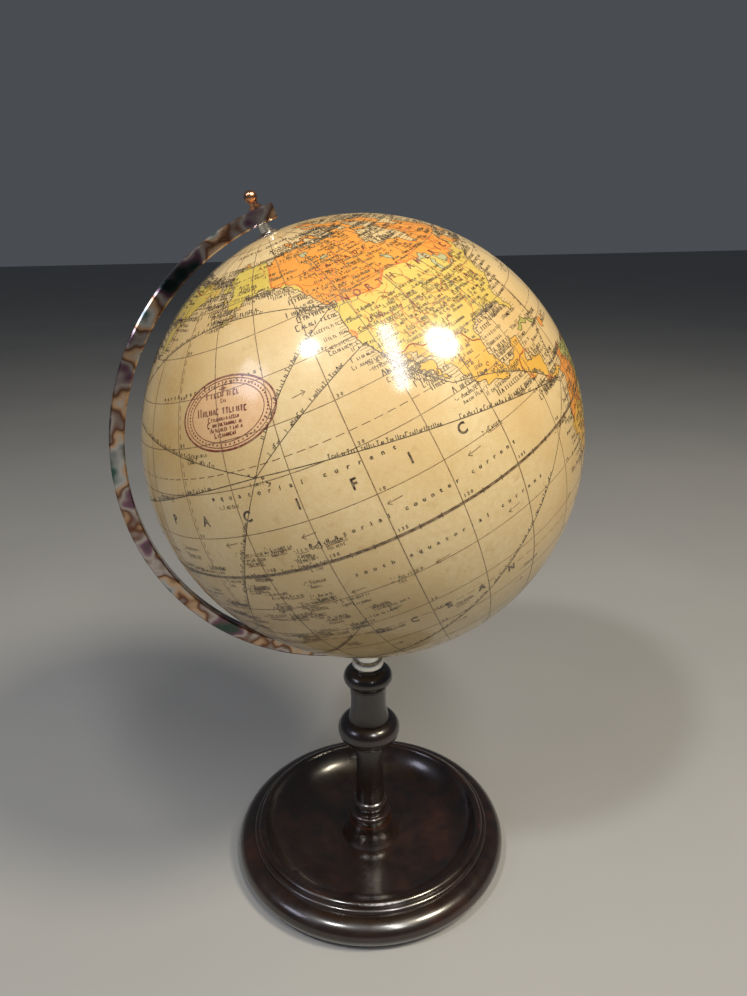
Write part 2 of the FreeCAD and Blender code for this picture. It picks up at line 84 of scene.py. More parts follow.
LAND = {
    "north_america": """
    -168,65.5 -164,66.5 -162,66.2 -166.5,68.4 -163,69.2 -161.5,70.3 -156.5,71.3 -152,70.8 -148,70.4
    -141,69.6 -136.5,69 -133,69.5 -129,70 -127.5,70.4 -124.5,70 -124.5,69.4 -121,69.7 -116,68.9
    -114,68.2 -115,67.9 -109,67.8 -107.8,67 -108,66.6 -106.5,68.3 -102,67.8 -98,67.8 -97.5,68.6
    -95.5,68.1 -96,69.5 -95,71.8 -92.5,70.5 -91.5,69.5 -90.5,68.5 -88,68 -87.5,67.3 -86.5,66.6 -85,68
    -85.5,69.7 -82,69.8 -81.3,69 -81.5,67.5 -83.5,66.3 -86.4,66.3 -87,65.3 -88.5,64 -90.5,63.5 -93,62
    -94.7,60.5 -94.7,59 -93,58.8 -92.5,57 -90,57 -88,56.5 -85,55.3 -82.3,55.1 -82.2,53 -81.5,52.2
    -80.5,51.3 -79,51.5 -78.8,52.5 -79.2,54.2 -76.8,56 -76.6,57.5 -78.3,59 -77.5,60.5 -78,62.4 -75,62.3
    -72,61.7 -70,61 -69.5,59 -67.8,58.3 -65.5,59.8 -64.6,60.3 -62.5,58.2 -61.5,56.5 -60,55 -57.5,54.6
    -56,52.8 -57,51.4 -60,50.2 -64,50.2 -66.5,50.2 -69,48.8 -71,46.9 -69,48.1 -66,49.1 -64.3,48.9
    -65,47.8 -64.6,46.3 -61.5,45.8 -60,46 -61.5,45.1 -64,44.4 -66,43.5 -66,44.5 -64.5,45.4 -67,44.8
    -69,44 -70.7,43 -70,41.8 -71.2,41.5 -74,40.6 -74.1,39.7 -75.3,38.5 -76,37 -75.6,35.3 -77.5,34.3
    -79.2,33.2 -81.2,31.8 -81.4,30 -80.1,27 -80.4,25.3 -81.7,25.9 -82.7,27.8 -83.8,29.8 -85.3,29.7
    -88,30.3 -89.3,29.2 -91.5,29.4 -94.7,29.4 -97.2,27.7 -97.3,25.5 -97.8,22.3 -96.3,19.3 -94.5,18.1
    -92,18.6 -90.7,19.5 -90.4,21 -87,21.5 -87.5,19.5 -88.3,17.5 -88.8,15.9 -86,15.9 -83.3,15 -83.6,12.5
    -83.6,10.8 -82,9 -80,9.2 -78.5,9.5 -77.3,8.5 -77.5,7.6 -78.3,8.3 -80,7.5 -80.9,7.3 -82.8,8.2 -83.7,9
    -85.7,10 -87.5,12.9 -91,13.9 -94.5,16.2 -97,15.9 -101.5,17.6 -104.3,19.1 -105.6,20.4 -105.3,21.7
    -107,24 -109.3,25.7 -112.2,29 -113,31.2 -114.8,31.7 -114.7,30.2 -112.8,28.3 -111.2,26 -110.3,24.3
    -109.5,23 -110.2,23 -112.2,24.8 -112.2,26 -114,27.2 -115.1,27.8 -114.2,28.2 -116,30.3 -117.1,32.5
    -118.5,34 -120.6,34.5 -122,36.6 -122.5,37.7 -123.8,39.3 -124.4,40.4 -124.2,42.5 -124,46.2
    -124.7,48.3 -122.8,48.2 -123,49.2 -125.5,50.3 -127.8,51.2 -128.5,53 -130.5,54.7 -132,56.5
    -134.5,58.2 -137,58.4 -139.6,59.6 -144,60.1 -146.5,60.7 -148.3,60 -151.8,59.2 -151.7,61 -153.5,59.6
    -156,57.7 -158.5,56 -162.5,55 -164.8,54.6 -161,56 -157.8,57.5 -157.3,58.8 -162,58.7 -162,60
    -165.3,60.6 -166,61.7 -164.7,63 -161,63.6 -161,64.5 -163,64.5 -166.3,64.6""",
    "south_america": """
    -77.4,8.6 -76.8,8.1 -75.5,10.5 -74.8,11.1 -73,11.4 -71.6,12.3 -71.3,11 -70,12 -68,10.6 -64.5,10.2
    -62,10.7 -61.5,9.7 -60.5,8.5 -57.5,6.5 -54,5.9 -51.8,4.5 -50.2,1.5 -50,-0.5 -48,-0.8 -44.5,-2.5
    -40,-2.9 -37,-4.7 -35.2,-5.6 -34.8,-8 -37,-11 -38.8,-13 -39,-17.5 -40.5,-21 -42,-22.9 -44.5,-23.1
    -48,-25.5 -48.7,-28.3 -51,-31 -53.5,-34 -55,-34.9 -58.3,-34.2 -57,-36.3 -58,-38.2 -62,-39
    -62.3,-40.7 -65,-41 -63.7,-42.5 -65.3,-44.5 -67.5,-46 -65.8,-47.3 -68.8,-50.2 -68.5,-52.4
    -65.2,-54.7 -68.5,-55.3 -72,-54 -74.5,-52 -75.5,-49 -74.5,-46.7 -75.5,-46.5 -73,-43.5 -73.8,-41.5
    -73.4,-38 -72.5,-35.5 -71.6,-32 -71.5,-29 -70.5,-25 -70.2,-20 -71.5,-17.5 -75.2,-15.3 -77.2,-12
    -79.5,-8 -81.3,-6 -80.4,-3.4 -80.9,-2 -80,0.2 -78.8,1.5 -77.3,3.8 -77.5,7""",
    "greenland": """
    -73,78.3 -68,80 -62,81.8 -45,82.6 -32,83.3 -22,82.5 -18,80 -19,77 -20,74.5 -22,72 -22,70.3 -26,69
    -32,68 -37,65.8 -40.5,64.5 -42.5,61 -44,60 -48,60.8 -51,63.5 -53.5,66.5 -51,69 -54.5,70.8 -55.5,73
    -58.5,75.5 -66,76 -71,77""",
    "baffin": """
    -61.5,66.5 -65,63 -68,62.3 -71,62.7 -73,64.5 -77,64.3 -78,65 -73.5,66 -73,68 -78,70 -84,70 -89,71
    -90,73.5 -85,73.7 -80,73.5 -76,72.5 -71,71 -67.5,69""",
    "ellesmere": "-90,76.5 -80,76.3 -78,77.5 -75,79 -65,81.5 -62,82.3 -80,83 -91,81.8 -88,80 -87,78",
    "victoria": """
    -117,73 -110,73 -105,72.5 -105,70 -101.5,69.2 -106,68.9 -114,69.2 -117,70 -112,70.5 -118,71.5""",
    "banks": "-125,74 -121,74 -120,72 -123,71.2 -126,72",
    "devon": "-97,76.5 -90,76.2 -81,75.6 -83,74.7 -92,74.8 -96,75.4",
    "southampton": "-87,65.5 -84,66 -80.5,64 -84,63 -86.5,63.8",
    "newfoundland": "-59.3,47.8 -57.5,50.5 -55.5,51.5 -56,50 -53,48.5 -53,46.8 -56,47",
    "vancouver": "-128.2,50.7 -125.3,50 -123.4,48.5 -125,48.8",
    "cuba": "-84.8,22 -82.5,23 -80,23 -77,21.8 -74.3,20.2 -77.5,19.9 -78,20.8 -82,22.4",
    "hispaniola": "-74.3,18.5 -73,19.9 -70,19.7 -68.4,18.6 -71,17.8",
    "jamaica": "-78.3,18.4 -76.9,18.4 -76.4,17.9 -77.6,17.8",
    "hawaii": "-155.9,20.2 -154.9,19.5 -155.7,18.9 -156,19.7",
    "maui": "-156.7,21 -156,20.8 -156.4,20.6",
    "oahu": "-158.2,21.6 -157.7,21.4 -158.1,21.2",
    "kauai": "-159.8,22.2 -159.3,22.2 -159.5,21.9",
    "iceland": "-24,65.7 -22.5,66.4 -16,66.5 -13.6,65 -18,63.4 -22.5,64",
    "britain": """
    -5.5,50.1 -3.6,51.3 -5.2,51.8 -4.5,53.2 -3,54 -5,55 -6,56.5 -5,58.6 -3,58.6 -4,57.6 -2,57.5 -3,56
    -1.5,55 0,53 1.7,52.6 1,51.2 -3.5,50.3""",
    "ireland": "-10,51.7 -9.5,54 -7.5,55.3 -5.6,54.5 -6.3,52.2",
    "eurasia": """
    -9,37 -9.3,38.8 -8.8,42.3 -9,43.2 -4,43.5 -1.7,43.4 -1.2,46 -4.6,48 -1.6,48.7 -1.7,49.7 1.5,50.3
    4,52 5,53.3 8.5,53.8 8.2,57 10.5,57.6 10.3,55 11,54 14,54.2 18.5,54.7 21,55.3 21.2,57.3 24,57.2
    23.5,59 28,59.7 30,60 25,60.2 22.8,60 21.3,61 21.5,63 25,65 22.5,65.8 18,62.8 17.3,61 18.8,60
    16.5,58 16,56.3 14.3,55.5 12.8,55.5 11.2,58.8 8,58 5.3,59 5,61.8 9,63.5 13,66 16,68.6 21,70 25.7,71
    31,70.3 33,69.4 41,67.5 40,66.3 34.5,66.6 35,64.3 38,64 40.5,64.7 44,66 44,68.5 48,67.6 54,68.3
    60,69 65,69.3 68.5,68.3 67,70 67,72.5 71.5,73 73,71 72.5,68 74.5,70 74.5,72.7 80.5,73.5 87,75
    98,76.3 104.3,77.6 113,76 113,74 107,73 120,73 127,73 130,71 133,71.5 140,72.6 150,71.5 160,69.8
    170,69.8 176,69.8 180,68.9 185,67.3 190.2,66.1 187.5,64.3 181,65.5 179.5,62.6 174.5,61.8 170.3,60
    164,59.9 162.8,57.8 162,55 156.8,51 155.6,55 156.8,57.8 161.5,60.3 160.3,61.8 155,59.3 150,59.6
    143,59.3 135.5,54.7 141,53 140.5,49 138,46.3 135,43.5 131,42.8 129.7,41 127.5,39.5 129.4,37 129,35.2
    126.4,34.5 126.7,37.5 125,38.5 124.5,40 121.5,39 121,40.8 118,39 119,37.3 122.5,37.2 119.3,35
    121.8,31.7 121.5,28.3 118.5,24.6 114,22.3 110.5,21 108.3,21.6 105.8,19 108.8,15.3 109.2,11.8
    106.7,10.3 104.8,8.7 105,10.3 102.8,11.8 100.8,13.3 100,13.3 99.3,10.5 100.5,7.2 103.4,4 103.6,1.5
    101.3,2.8 100.3,5.8 98.3,8.2 98.7,12 97.7,16.3 95.3,15.8 94.3,17.5 91.8,22.4 89,21.8 87,21.3 85,19.6
    82.3,16.7 80.3,15 80,11.5 78,8.4 76.3,9.5 74.7,13.5 73,18 72.8,21 70.5,20.8 69,22.3 67,24.8
    61.5,25.1 57,26.8 54,26.6 51,28.5 48.5,30 48,29.5 50,26.7 51.2,24.7 54,24.2 56.3,26 56.6,24.3
    59.7,22.4 57.7,19 55.2,17.5 52,15.6 45,12.8 43.5,12.8 42.8,16.3 39.2,21 37,25.5 34.7,28.5 34.9,29.5
    34.2,27.9 32.6,29.8 32.4,31.2 34.3,31.3 35.8,34.5 36,36.8 32.5,36.1 30.5,36.7 27.7,36.8 26.3,39
    29,41 31.5,41.2 35,42 38,41 41.5,41.6 37.5,44.7 39,47.1 35.3,46.3 35,45.3 33.6,44.5 32.7,46
    30.8,46.5 28.6,44 27.8,42.5 28.3,41.2 26.3,40.8 23.3,40.3 24,38 22.8,36.6 21.3,37.8 19.4,41 19,42.2
    15.5,44 13.7,45.2 12.4,45.2 12.5,44 14.2,42.4 16,41.9 18.4,40 17,40.5 16.6,38.6 15.8,38 16,39.5
    14.3,40.7 11,42.4 9,44.4 6.5,43.2 3.2,43.2 3.1,41.8 0.3,40 -0.3,38.5 -2,36.8 -5.5,36 -6.4,36.8""",
    "africa": """
    -6,35.8 -2,35.2 3,36.8 10,37.3 11,35.2 10.2,34 15.3,32.2 19.5,30.4 20,32.5 25,31.7 29,30.9 32.5,31.2
    32.5,30 33.6,27.5 35.6,24 37.2,21 38,18 40,15 43.2,12 43.3,11.4 46,10.7 51.2,11.9 50.8,9.5 48,4.5
    44,1 41,-2 39.2,-5 39.5,-8 40.6,-11 40.7,-15 36.5,-18.8 34.8,-20 35.5,-23.8 32.8,-26 32.3,-28.8
    29,-32.5 25.7,-34 20,-34.8 18.3,-34 17.5,-30.5 14.8,-25.5 14.3,-22 11.8,-17.5 13.6,-12.5 12.3,-6.1
    9.3,-2 9.5,2 9.7,4 7,4.4 4.5,6.3 1,5.8 -2,4.8 -7.5,4.4 -12.5,7.3 -15,10.8 -16.8,13.2 -17.4,14.7
    -16.3,17 -17,21 -14.8,25.5 -13,27.8 -10,29.5 -9.7,31.5 -7,33.7""",
    "madagascar": "49.3,-12 50.4,-15.7 47.5,-24.8 45,-25.5 43.3,-22 44.4,-19.8 44.3,-16.3 47,-15.3",
    "australia": """
    113.7,-22.5 114,-26.3 115.7,-31.5 115.1,-34.3 118,-35 123.7,-33.9 129,-31.6 134,-32.8 136,-35
    138,-33 138.2,-35.6 140.5,-38 144,-38.2 146.4,-39 150,-37.3 151.5,-33 153.5,-28.5 152.8,-25
    149.2,-21.2 146.2,-19 145.3,-15 143.5,-14 142.5,-10.8 141.6,-13.5 140.8,-17.5 137,-16 135.5,-14.8
    136.8,-12.2 132.6,-11.4 130.5,-12.6 129,-15 126,-14.1 123.5,-17 122.2,-18 119,-20""",
    "tasmania": "144.8,-40.8 148.2,-40.9 147.8,-43.2 146,-43.5",
    "new_guinea": """
    131,-0.8 134.2,-0.8 135,-3.3 138,-1.7 144.5,-3.9 147.8,-6 147.5,-8 150.5,-10.4 147,-9.5 143.5,-9
    139,-8 137.8,-5.3 133,-4 132,-2.8""",
    "borneo": "109.5,2 111.3,2.5 113.5,3.5 117,7 119,5 117.8,1 116.5,-2 115.8,-3.8 110.2,-2.8 109,0.5",
    "sumatra": "95.3,5.6 98.2,4.2 103.8,0 106,-3 105.8,-5.8 102.3,-4 98.7,1.7",
    "java": "105.2,-6.8 108.5,-6.7 114.4,-7.7 114.3,-8.6 108,-7.8",
    "celebes": """
    119.5,-3 120,0.5 124.8,1.5 120.8,0.3 123,-1 121.2,-2 122.8,-4.8 121,-2.8 120.3,-5.6""",
    "luzon": "120.3,16.1 120.8,18.5 122.2,18.4 121.7,15 124,12.7 120.7,13.8",
    "mindanao": "122,7 123.5,8.7 125.5,9.8 126.5,7.5 125.4,5.7",
    "formosa": "120.1,23.2 121.4,25.2 121,22",
    "hainan": "108.7,19 111,20 109.5,18.2",
    "honshu": """
    130.2,32 129.8,33.5 131,34.3 135.5,35.6 136.8,37 139.5,38.5 140.3,41.3 141.5,41.3 142,39.5 140.9,37
    140.5,35.4 138.5,34.7 135.8,33.5 132,33 131.3,31.3""",
    "hokkaido": "140.2,42 141.6,45.4 145.3,43.3 143.2,42",
    "sakhalin": "142,46 142,54.2 143.3,52 143.3,49",
    "new_zealand_north": "172.8,-34.5 175.8,-36.8 178.4,-37.8 175.5,-41.5 173.8,-39.3 174.7,-37.5",
    "new_zealand_south": "172.7,-40.6 174.2,-41.8 171,-44.5 170,-46.4 166.5,-46 168.5,-44",
    "ceylon": "79.8,8 80.3,9.7 81.8,7.5 80.5,6",
    "novaya_zemlya": "51.5,71.5 56,74 66,76.8 68,76.5 58,73 57.5,70.7",
    "svalbard": "11,79 20,80.4 27,80 17,76.7",
    "antarctica": """
    -180,-84 -180,-78 -158,-77.5 -150,-76 -135,-74.5 -120,-73.8 -105,-74.5 -100,-72 -90,-73 -75,-73
    -68,-70 -67,-67 -60,-64 -57,-63.3 -61,-66 -61.5,-70 -61,-75 -50,-77.8 -35,-78 -28,-76 -18,-73 -8,-71
    5,-70 20,-70 35,-69.5 45,-67.5 55,-66 68,-67.8 72,-70 78,-69 88,-66.8 100,-65.8 115,-66.5 130,-66.2
    142,-66.8 155,-69 165,-70.7 170,-72 165,-76 165,-78 180,-78 180,-84""",
}

LAKES = {
    "superior": "-92,46.8 -88,48.6 -85,47.8 -84.7,46.5 -88,46.9",
    "michigan": "-87.5,41.8 -87.8,44 -86.5,45.9 -85.2,45.2 -86.3,43.5",
    "huron": "-82.5,43.1 -83.7,44.5 -84.5,46 -81,46 -80,44.6 -81.6,43.4",
    "erie": "-83.3,41.7 -79,42.8 -81.5,42.6",
    "ontario": "-79.6,43.3 -76.3,43.6 -76.8,44.1",
    "great_slave": "-117,61 -111,62.5 -109,62.6 -113.5,60.9",
    "great_bear": "-123,66 -119,66.8 -118,65.7",
    "winnipeg": "-98.5,53.5 -97.2,52 -96.7,50.5 -97,53.7",
    "caspian": "47,45 49,46.3 53,46.6 53,45 50.7,44.5 52.5,42 53.8,39 53.7,37 50,37.5 49.3,40.2 47.5,43",
    "aral": "58.5,44 60,46.5 61.5,46 59.5,43.8",
    "victoria_nyanza": "31.8,-1 34,-0.5 33,-2.7",
    "baikal": "104,51.5 108,53 110,55.5 108,54",
}

# Each country's outline runs loosely through the sea: only what lies on land is tinted.
COUNTRIES = [
    ("yellow", """
    -126,48.4 -123,48.5 -122.8,49 -95.2,49 -94.6,48.7 -89.5,48 -88,48.2 -84.6,46.5 -82.5,45.3 -82.4,43
    -83,42 -79,42.8 -79.1,43.4 -76.5,44.2 -75,45 -71.4,45 -70.3,46.2 -69.2,47.4 -68,47.2 -67.8,45.6
    -66.5,44.6 -65,42 -75,30 -79,24 -90,26 -97,25.9 -99.2,26.5 -101.5,29.8 -103.2,29 -104.6,29.7
    -106.5,31.8 -108.2,31.5 -111,31.4 -114.8,32.6 -117.2,32.5 -125,32"""),
    ("olive", """
    -141,71.5 -141,60.3 -137.5,59 -135.5,59.8 -133.5,58.2 -130,56 -130.2,54.7 -135,54 -170,50 -175,60
    -172,72"""),
    ("amber", """
    -117.2,32.5 -114.8,32.6 -111,31.4 -108.2,31.5 -106.5,31.8 -104.6,29.7 -103.2,29 -101.5,29.8
    -99.2,26.5 -97,25.9 -94,25 -86,23 -86.5,19 -88.3,18 -89.2,17.9 -91,17.3 -91.8,16 -92.2,14.5 -96,14.5
    -108,17 -116,26"""),
    ("amber", """
    -92.2,14.5 -91.8,16 -91,17.3 -89.2,17.9 -88.3,18 -82,17 -81,10 -77.2,9 -77.8,7 -82,6.5 -88,11"""),
    ("yellow", """
    -51.5,4.5 -56,2.3 -60,5 -64,4 -67,1.5 -70,-0.5 -69.9,-4.3 -73,-7.5 -70.5,-9.5 -69.5,-11 -65.3,-10.8
    -60,-14 -58,-17 -57.8,-20 -55.8,-22 -54.5,-24 -54,-26 -55.8,-28.5 -57.6,-30.2 -53.4,-33.7 -50,-35
    -30,-20 -30,-3 -45,3"""),
    ("rose", """
    -66.5,-22 -62.5,-22.3 -58,-27 -54,-26 -55.8,-28.5 -58.2,-33 -55,-37 -60,-56 -68.6,-55 -68.6,-52.3
    -72,-51 -71.5,-44 -71,-38 -70,-33 -68.5,-26"""),
    ("green", """
    -70.3,-18.3 -68.5,-20 -67.5,-23 -68.5,-26 -70,-33 -71,-38 -71.5,-44 -72,-51 -68.6,-52.3 -68.6,-57
    -80,-56 -80,-30 -73,-18"""),
    ("amber", """
    -81.5,-3.4 -80.2,-4.3 -78,-3 -75.2,-0.1 -69.9,-4.3 -73,-7.5 -70.5,-9.5 -69.5,-11 -69.2,-16
    -70.3,-18.3 -75,-18 -83,-8"""),
    ("green", "-71.5,12.5 -72.5,9 -70,6.5 -67.3,6.2 -67,1.5 -64,4 -60.7,5 -60,8.5 -58,11"),
    ("green", "-5,48.8 -1.8,43.3 3.2,42.5 7.5,43.7 7,46 8,49 2.5,51.1 -2,50"),
    ("yellow", "-10,36 -10,43.5 -1.8,43.3 3.2,42.5 4,40 -2,36 -5.6,35.9"),
    ("rose", "7.5,43.7 7,46 13.5,46.5 13.8,45 19,40.2 16,37.6 12,41 9,43"),
    ("rose", "2.5,51.1 8,49 13,48.7 15,51 18.5,54.2 14,55.5 9,55 7,54.5 4,54"),
    ("green", "13,48.7 15,51 24,52 26.5,48 22,44 19,42 13.5,45.5 13.5,46.5"),
    ("olive", "4,57 12,59 14,62 20,69 28,70 32,72 10,70 2,62"),
    ("yellow", """
    28,70.5 30,62 27.5,59.5 27,56 24,52 29,45.5 36,43.5 41.5,41.5 48.5,38.5 54,37.3 61,36 67,37.2
    73.5,39.5 80,42 83,46 87.5,49.2 98,51.5 107,49.5 116,49.8 121,53.3 130.5,48.8 135,48.4 131,43 131,42
    145,43 170,50 192,64 192,72 100,80 40,72"""),
    ("rose", """
    73.5,39.5 80,42 83,46 87.5,49.2 91,45.2 96.5,42.7 105,41.6 112,43.8 119.5,46.7 116,49.8 121,53.3
    130.5,48.8 135,48.4 131,43 124,40 123,30 117,21 108,21.5 106.5,22.8 102,22.4 98,24 97.5,28 92,27.8
    88,27.9 81,30 78.5,32.5 78,35.5 75,37"""),
    ("green", "87.5,49.2 98,51.5 107,49.5 116,49.8 119.5,46.7 112,43.8 105,41.6 96.5,42.7 91,45.2"),
    ("amber", """
    61.5,24 61,29.5 66.5,29.5 70,33 75,37 78,35.5 78.5,32.5 81,30 88,27.9 92,27.8 97,28 94,24 92.3,21
    85,15 80,5 72,8"""),
    ("rose", "44.5,39.5 48.5,38.5 54,37.3 61,36 61,29.5 61.5,25 55,25.5 48,30 45.5,34"),
    ("amber", "26,42 36,43 44.5,41 44.5,37.2 36,36 26,35"),
    ("amber", "102,22.4 106.5,22.8 108,21.5 110,12 105,8 102.5,12 104,15 101,18"),
    ("amber", """
    -13,28 -8.7,27.5 -1.5,32.3 -2,35.5 8.3,37.5 9,33 9.8,29.5 11.5,24 15.5,23 15.5,17 13.7,13.8 3.7,12
    1.5,6 -3,5 -7.5,4 -11,8 -16,12.5 -18,16 -18,21"""),
    ("green", "9,33 9.8,29.5 11.5,24 15.5,23 25,20 25,32 20,33.5 11.5,33.5"),
    ("rose", "25,32 25,20 24,15.7 22,11 27,5 34,4.2 36,11 38.5,18 33.5,29 34.3,31.5"),
    ("green", "38.5,18 36,11 34,8 36,4.5 42,4 46,8 42.5,12"),
    ("yellow", """
    12.3,-6 16,-5.8 18,4 27,5 30.5,3 29.5,-4 30.5,-8.5 28.5,-9 30,-12.5 27,-12 24,-11 22,-7.5 17,-7.5"""),
    ("green", "12,-6 17,-7.5 22,-7.5 24,-11 22,-13 23.5,-17.7 11,-17.3"),
    ("green", "30.2,-15 40.8,-10.5 42,-15 33,-27 31.5,-25 32.8,-20"),
    ("rose", "2.7,6 3.7,12 13.7,13.8 14.5,11 9,4.5"),
    ("olive", "15.5,23 24,19.5 22,11 27,5 18,4 16,-5 9,-3 9.5,3 14.5,11 13.7,13.8 15.5,17"),
]

LAND_TINT = {"africa": "rose", "australia": "rose", "greenland": "cream", "antarctica": "white",
             "britain": "rose", "ireland": "rose", "iceland": "green", "new_zealand_north": "rose",
             "new_zealand_south": "rose", "eurasia": "olive", "madagascar": "amber",
             "cuba": "green", "honshu": "rose", "hokkaido": "rose", "new_guinea": "green",
             "borneo": "yellow", "sumatra": "green", "java": "green", "ceylon": "amber"}
DEFAULT_TINT = "orange"

RIVERS = [
    "-95.2,47.3 -91.5,43.5 -90.2,38.8 -91.2,33.5 -90,29.6", "-111,46 -104,47.8 -98,43 -90.2,38.8",
    "-115,67.8 -125,64 -121,61.5", "-122.5,49.5 -119,51 -117,47 -124,46.2",
    "-73,-4.5 -66,-2.8 -60,-3.2 -50.5,-0.5", "-58,-19 -57.8,-27 -60.5,-32 -58.5,-34",
    "31,30.5 31,26 33,21 32,15.6 32.5,4 32.5,0.5", "12.5,-6 16,-3 20,1.5 25,0.5 26,-6",
    "6,4.8 6,8 0,17 -6,14", "36.3,-18.8 33,-16 27,-17.8 23,-15",
    "29.5,45.3 22,44 18.8,47.5 9,48.3", "47.5,46 45,49 49.5,54 40,57", "73,66.5 69,61 76,58 83,52",
    "83,71.5 88,66 92,56", "127,72 124,64 118,59 108,55", "121.5,31.5 115,30 106,29 98,32",
    "118.5,37.7 112,35 108,40.5 101,36", "89.5,23 84,25.5 78,29.5", "68,24.2 72,31 78,34",
    "140.5,53 135,48.5 123,53.3", "106.5,10 105,16 98,28", "49,30.5 44.5,33 40,37",
]

ISLANDS = [(144.7, 13.4), (150, 7.4), (134.5, 7.4), (166.6, 19.3), (171, 7.1), (172.9, 1.4), (166, -0.5),
           (178.2, -17.8), (-171.7, -13.8), (-175.2, -21.2), (-149.5, -17.6), (-139.5, -9.3),
           (-144, -16), (-157.4, 1.9), (-162, 5.9), (-171.5, -3), (-177.4, 28.2), (-169.5, 16.7),
           (-159.8, -21.2), (-109.4, -27.1), (-90.5, -0.6), (-130.1, -25.1), (-176.5, -44),
           (165.5, -21.3), (167, -15.5), (160, -9), (152, -4.5), (-119, 29), (-109.2, 10.3),
           (-111, 18.8), (-25.5, 37.7), (-24, 15), (-16, 28.3), (-5.7, -16), (-14.4, -8), (-64.7, 32.3),
           (57.5, -20.2), (55.5, -4.6), (73, 4), (-59, -51.7), (-37, -54.3), (69.5, -49.3),
           (105.6, -10.5), (96.8, -12.2), (-12.3, -37.1), (127, 26.5), (142, 27), (-28.6, 38.5),
           (-155, 0.5), (-151, -23.5), (-134.9, -23.1), (176, -8), (179, -8.5), (162, 5.3)]

ROUTES = [((-158, 21.2), (-122.5, 37.7)), ((-158, 21.2), (-125, 48.4)), ((-158, 21.2), (-79.8, 7)),
          ((-79.8, 7), (-185, -41)), ((-158, 21.2), (-182, -18)), ((-182, -18), (-208.5, -33.8)),
          ((-158, 21.2), (-220, 35)), ((-125, 48.4), (-220, 35)), ((-158, 21.2), (-215.3, 13.4)),
          ((-215.3, 13.4), (-239, 14.5)), ((-122.5, 37.7), (-110, 22)), ((-110, 22), (-81, 6.5)),
          ((-79.8, 6.5), (-80, -7)), ((-80, -7), (-72.5, -33)), ((-149.5, -17.6), (-185, -37)),
          ((-73.8, 40.4), (-8, 50.5)), ((-73.8, 40.4), (-6.5, 36)), ((-73.8, 40.4), (-75, 20.5)),
          ((-75, 20.5), (-79.8, 9.6)), ((-9.5, 38.5), (-35, -8)), ((-35, -8), (-52, -35)),
          ((-7, 48), (-17.5, 15)), ((-17.5, 15), (17.5, -34)), ((17.5, -34), (-52, -35)),
          ((33, -30), (57.5, -20.2)), ((45, 12), (72.5, 18.5)), ((45, 12), (79.5, 6)),
          ((79.5, 6), (95, 6)), ((79.5, 6), (115, -32)), ((115, -36), (147, -40)),
          ((45, 12), (57.5, -20.2)), ((57.5, -20.2), (113, -36)), ((32, -30), (113, -36)),
          ((104.5, 1), (114.5, 21.5)), ((114.5, 21.5), (123, 31)), ((151.5, -34), (172.5, -35))]

CARTOUCHE = (-162.4, 35.5, 14.6, 7.5)      # centre, then half its width and height in degrees
EDGE = 2.0                                 # longest printed edge, in degrees
FILL_STEP = 3                              # degrees between the filling points of the map's triangles
MM_PER_DEGREE = 1.77                       # along a meridian of the ball
ROUTE_BOW = 0.03                           # sideways, as a share of the ball's radius
ROUTE_SWAY = 2.4                           # radians from one route's bow to the next

# How far an outline's halved edges are pushed sideways at most, as a share of their length.
HALVINGS = 2
COAST_ROUGH = 0.9
ICE_ROUGH = 0.3
LAKE_ROUGH = 0.7
BORDER_ROUGH = 0.35
RIVER_ROUGH = 0.8
WOBBLE = 3.7                               # features of the sideways push to a degree
WOBBLE_SLICE = 5.0                         # the level at which the noise is cut
BATCH = 500                                # places looked at together


def corners(text):
    """Read an outline's corners."""
    return [tuple(float(value) for value in pair.split(",")) for pair in text.split()]


def oval(lon, lat, wide, high, count=48):
    """Corners of an oval on the map."""
    turns = [2 * math.pi * index / count for index in range(count)]
    return [(lon + wide * math.cos(turn), lat + high * math.sin(turn)) for turn in turns]


def edges_of(points, closed=True):
    """The two ends of each edge of an outline, or of an open line."""
    return list(zip(points, points[1:] + points[:1] if closed else points[1:]))


def midpoint(start, end):
    """The place halfway between two places."""
    return ((start[0] + end[0]) / 2, (start[1] + end[1]) / 2)


def roughen(points, rough, closed=True):
    """Halve every edge and push its middle sideways, the same way from either side."""
    for _ in range(HALVINGS):
        result = []
        for start, end in edges_of(points, closed):
            low, high = sorted((start, end))
            middle = midpoint(low, high)
            push = rough * noise.noise(Vector((middle[0] * WOBBLE, middle[1] * WOBBLE, WOBBLE_SLICE)))
            result.append(start)
            result.append((middle[0] - (high[1] - low[1]) * push, middle[1] + (high[0] - low[0]) * push))
        points = result if closed else result + [points[-1]]
    return points


def stepped(points, closed=True):
    """Split every edge that is longer than EDGE."""
    result = []
    for start, end in edges_of(points, closed):
        count = max(1, math.ceil(math.dist(start, end) / EDGE))
        for index in range(count):
            part = index / count
            result.append((start[0] + (end[0] - start[0]) * part, start[1] + (end[1] - start[1]) * part))
    return result if closed else result + [points[-1]]


def inside(places, outline):
    """For each place, whether it lies in the outline. The work is done in batches of places."""
    places = np.asarray(places, dtype=float)
    starts = np.asarray(outline, dtype=float)
    near = ((places >= starts.min(axis=0)) & (places <= starts.max(axis=0))).all(axis=1)
    near = np.flatnonzero(near)
    hits = np.zeros(len(places), dtype=bool)
    ends = np.roll(starts, -1, axis=0)
    slanted = starts[:, 1] != ends[:, 1]
    starts = starts[slanted]
    ends = ends[slanted]
    lean = (ends[:, 0] - starts[:, 0]) / (ends[:, 1] - starts[:, 1])
    for first in range(0, len(near), BATCH):
        chosen = near[first:first + BATCH]
        lon, lat = places[chosen].T[:, :, None]
        crosses = (starts[:, 1] > lat) != (ends[:, 1] > lat)
        crosses &= lon < starts[:, 0] + lean * (lat - starts[:, 1])
        hits[chosen] = crosses.sum(axis=1) % 2 == 1
    return hits


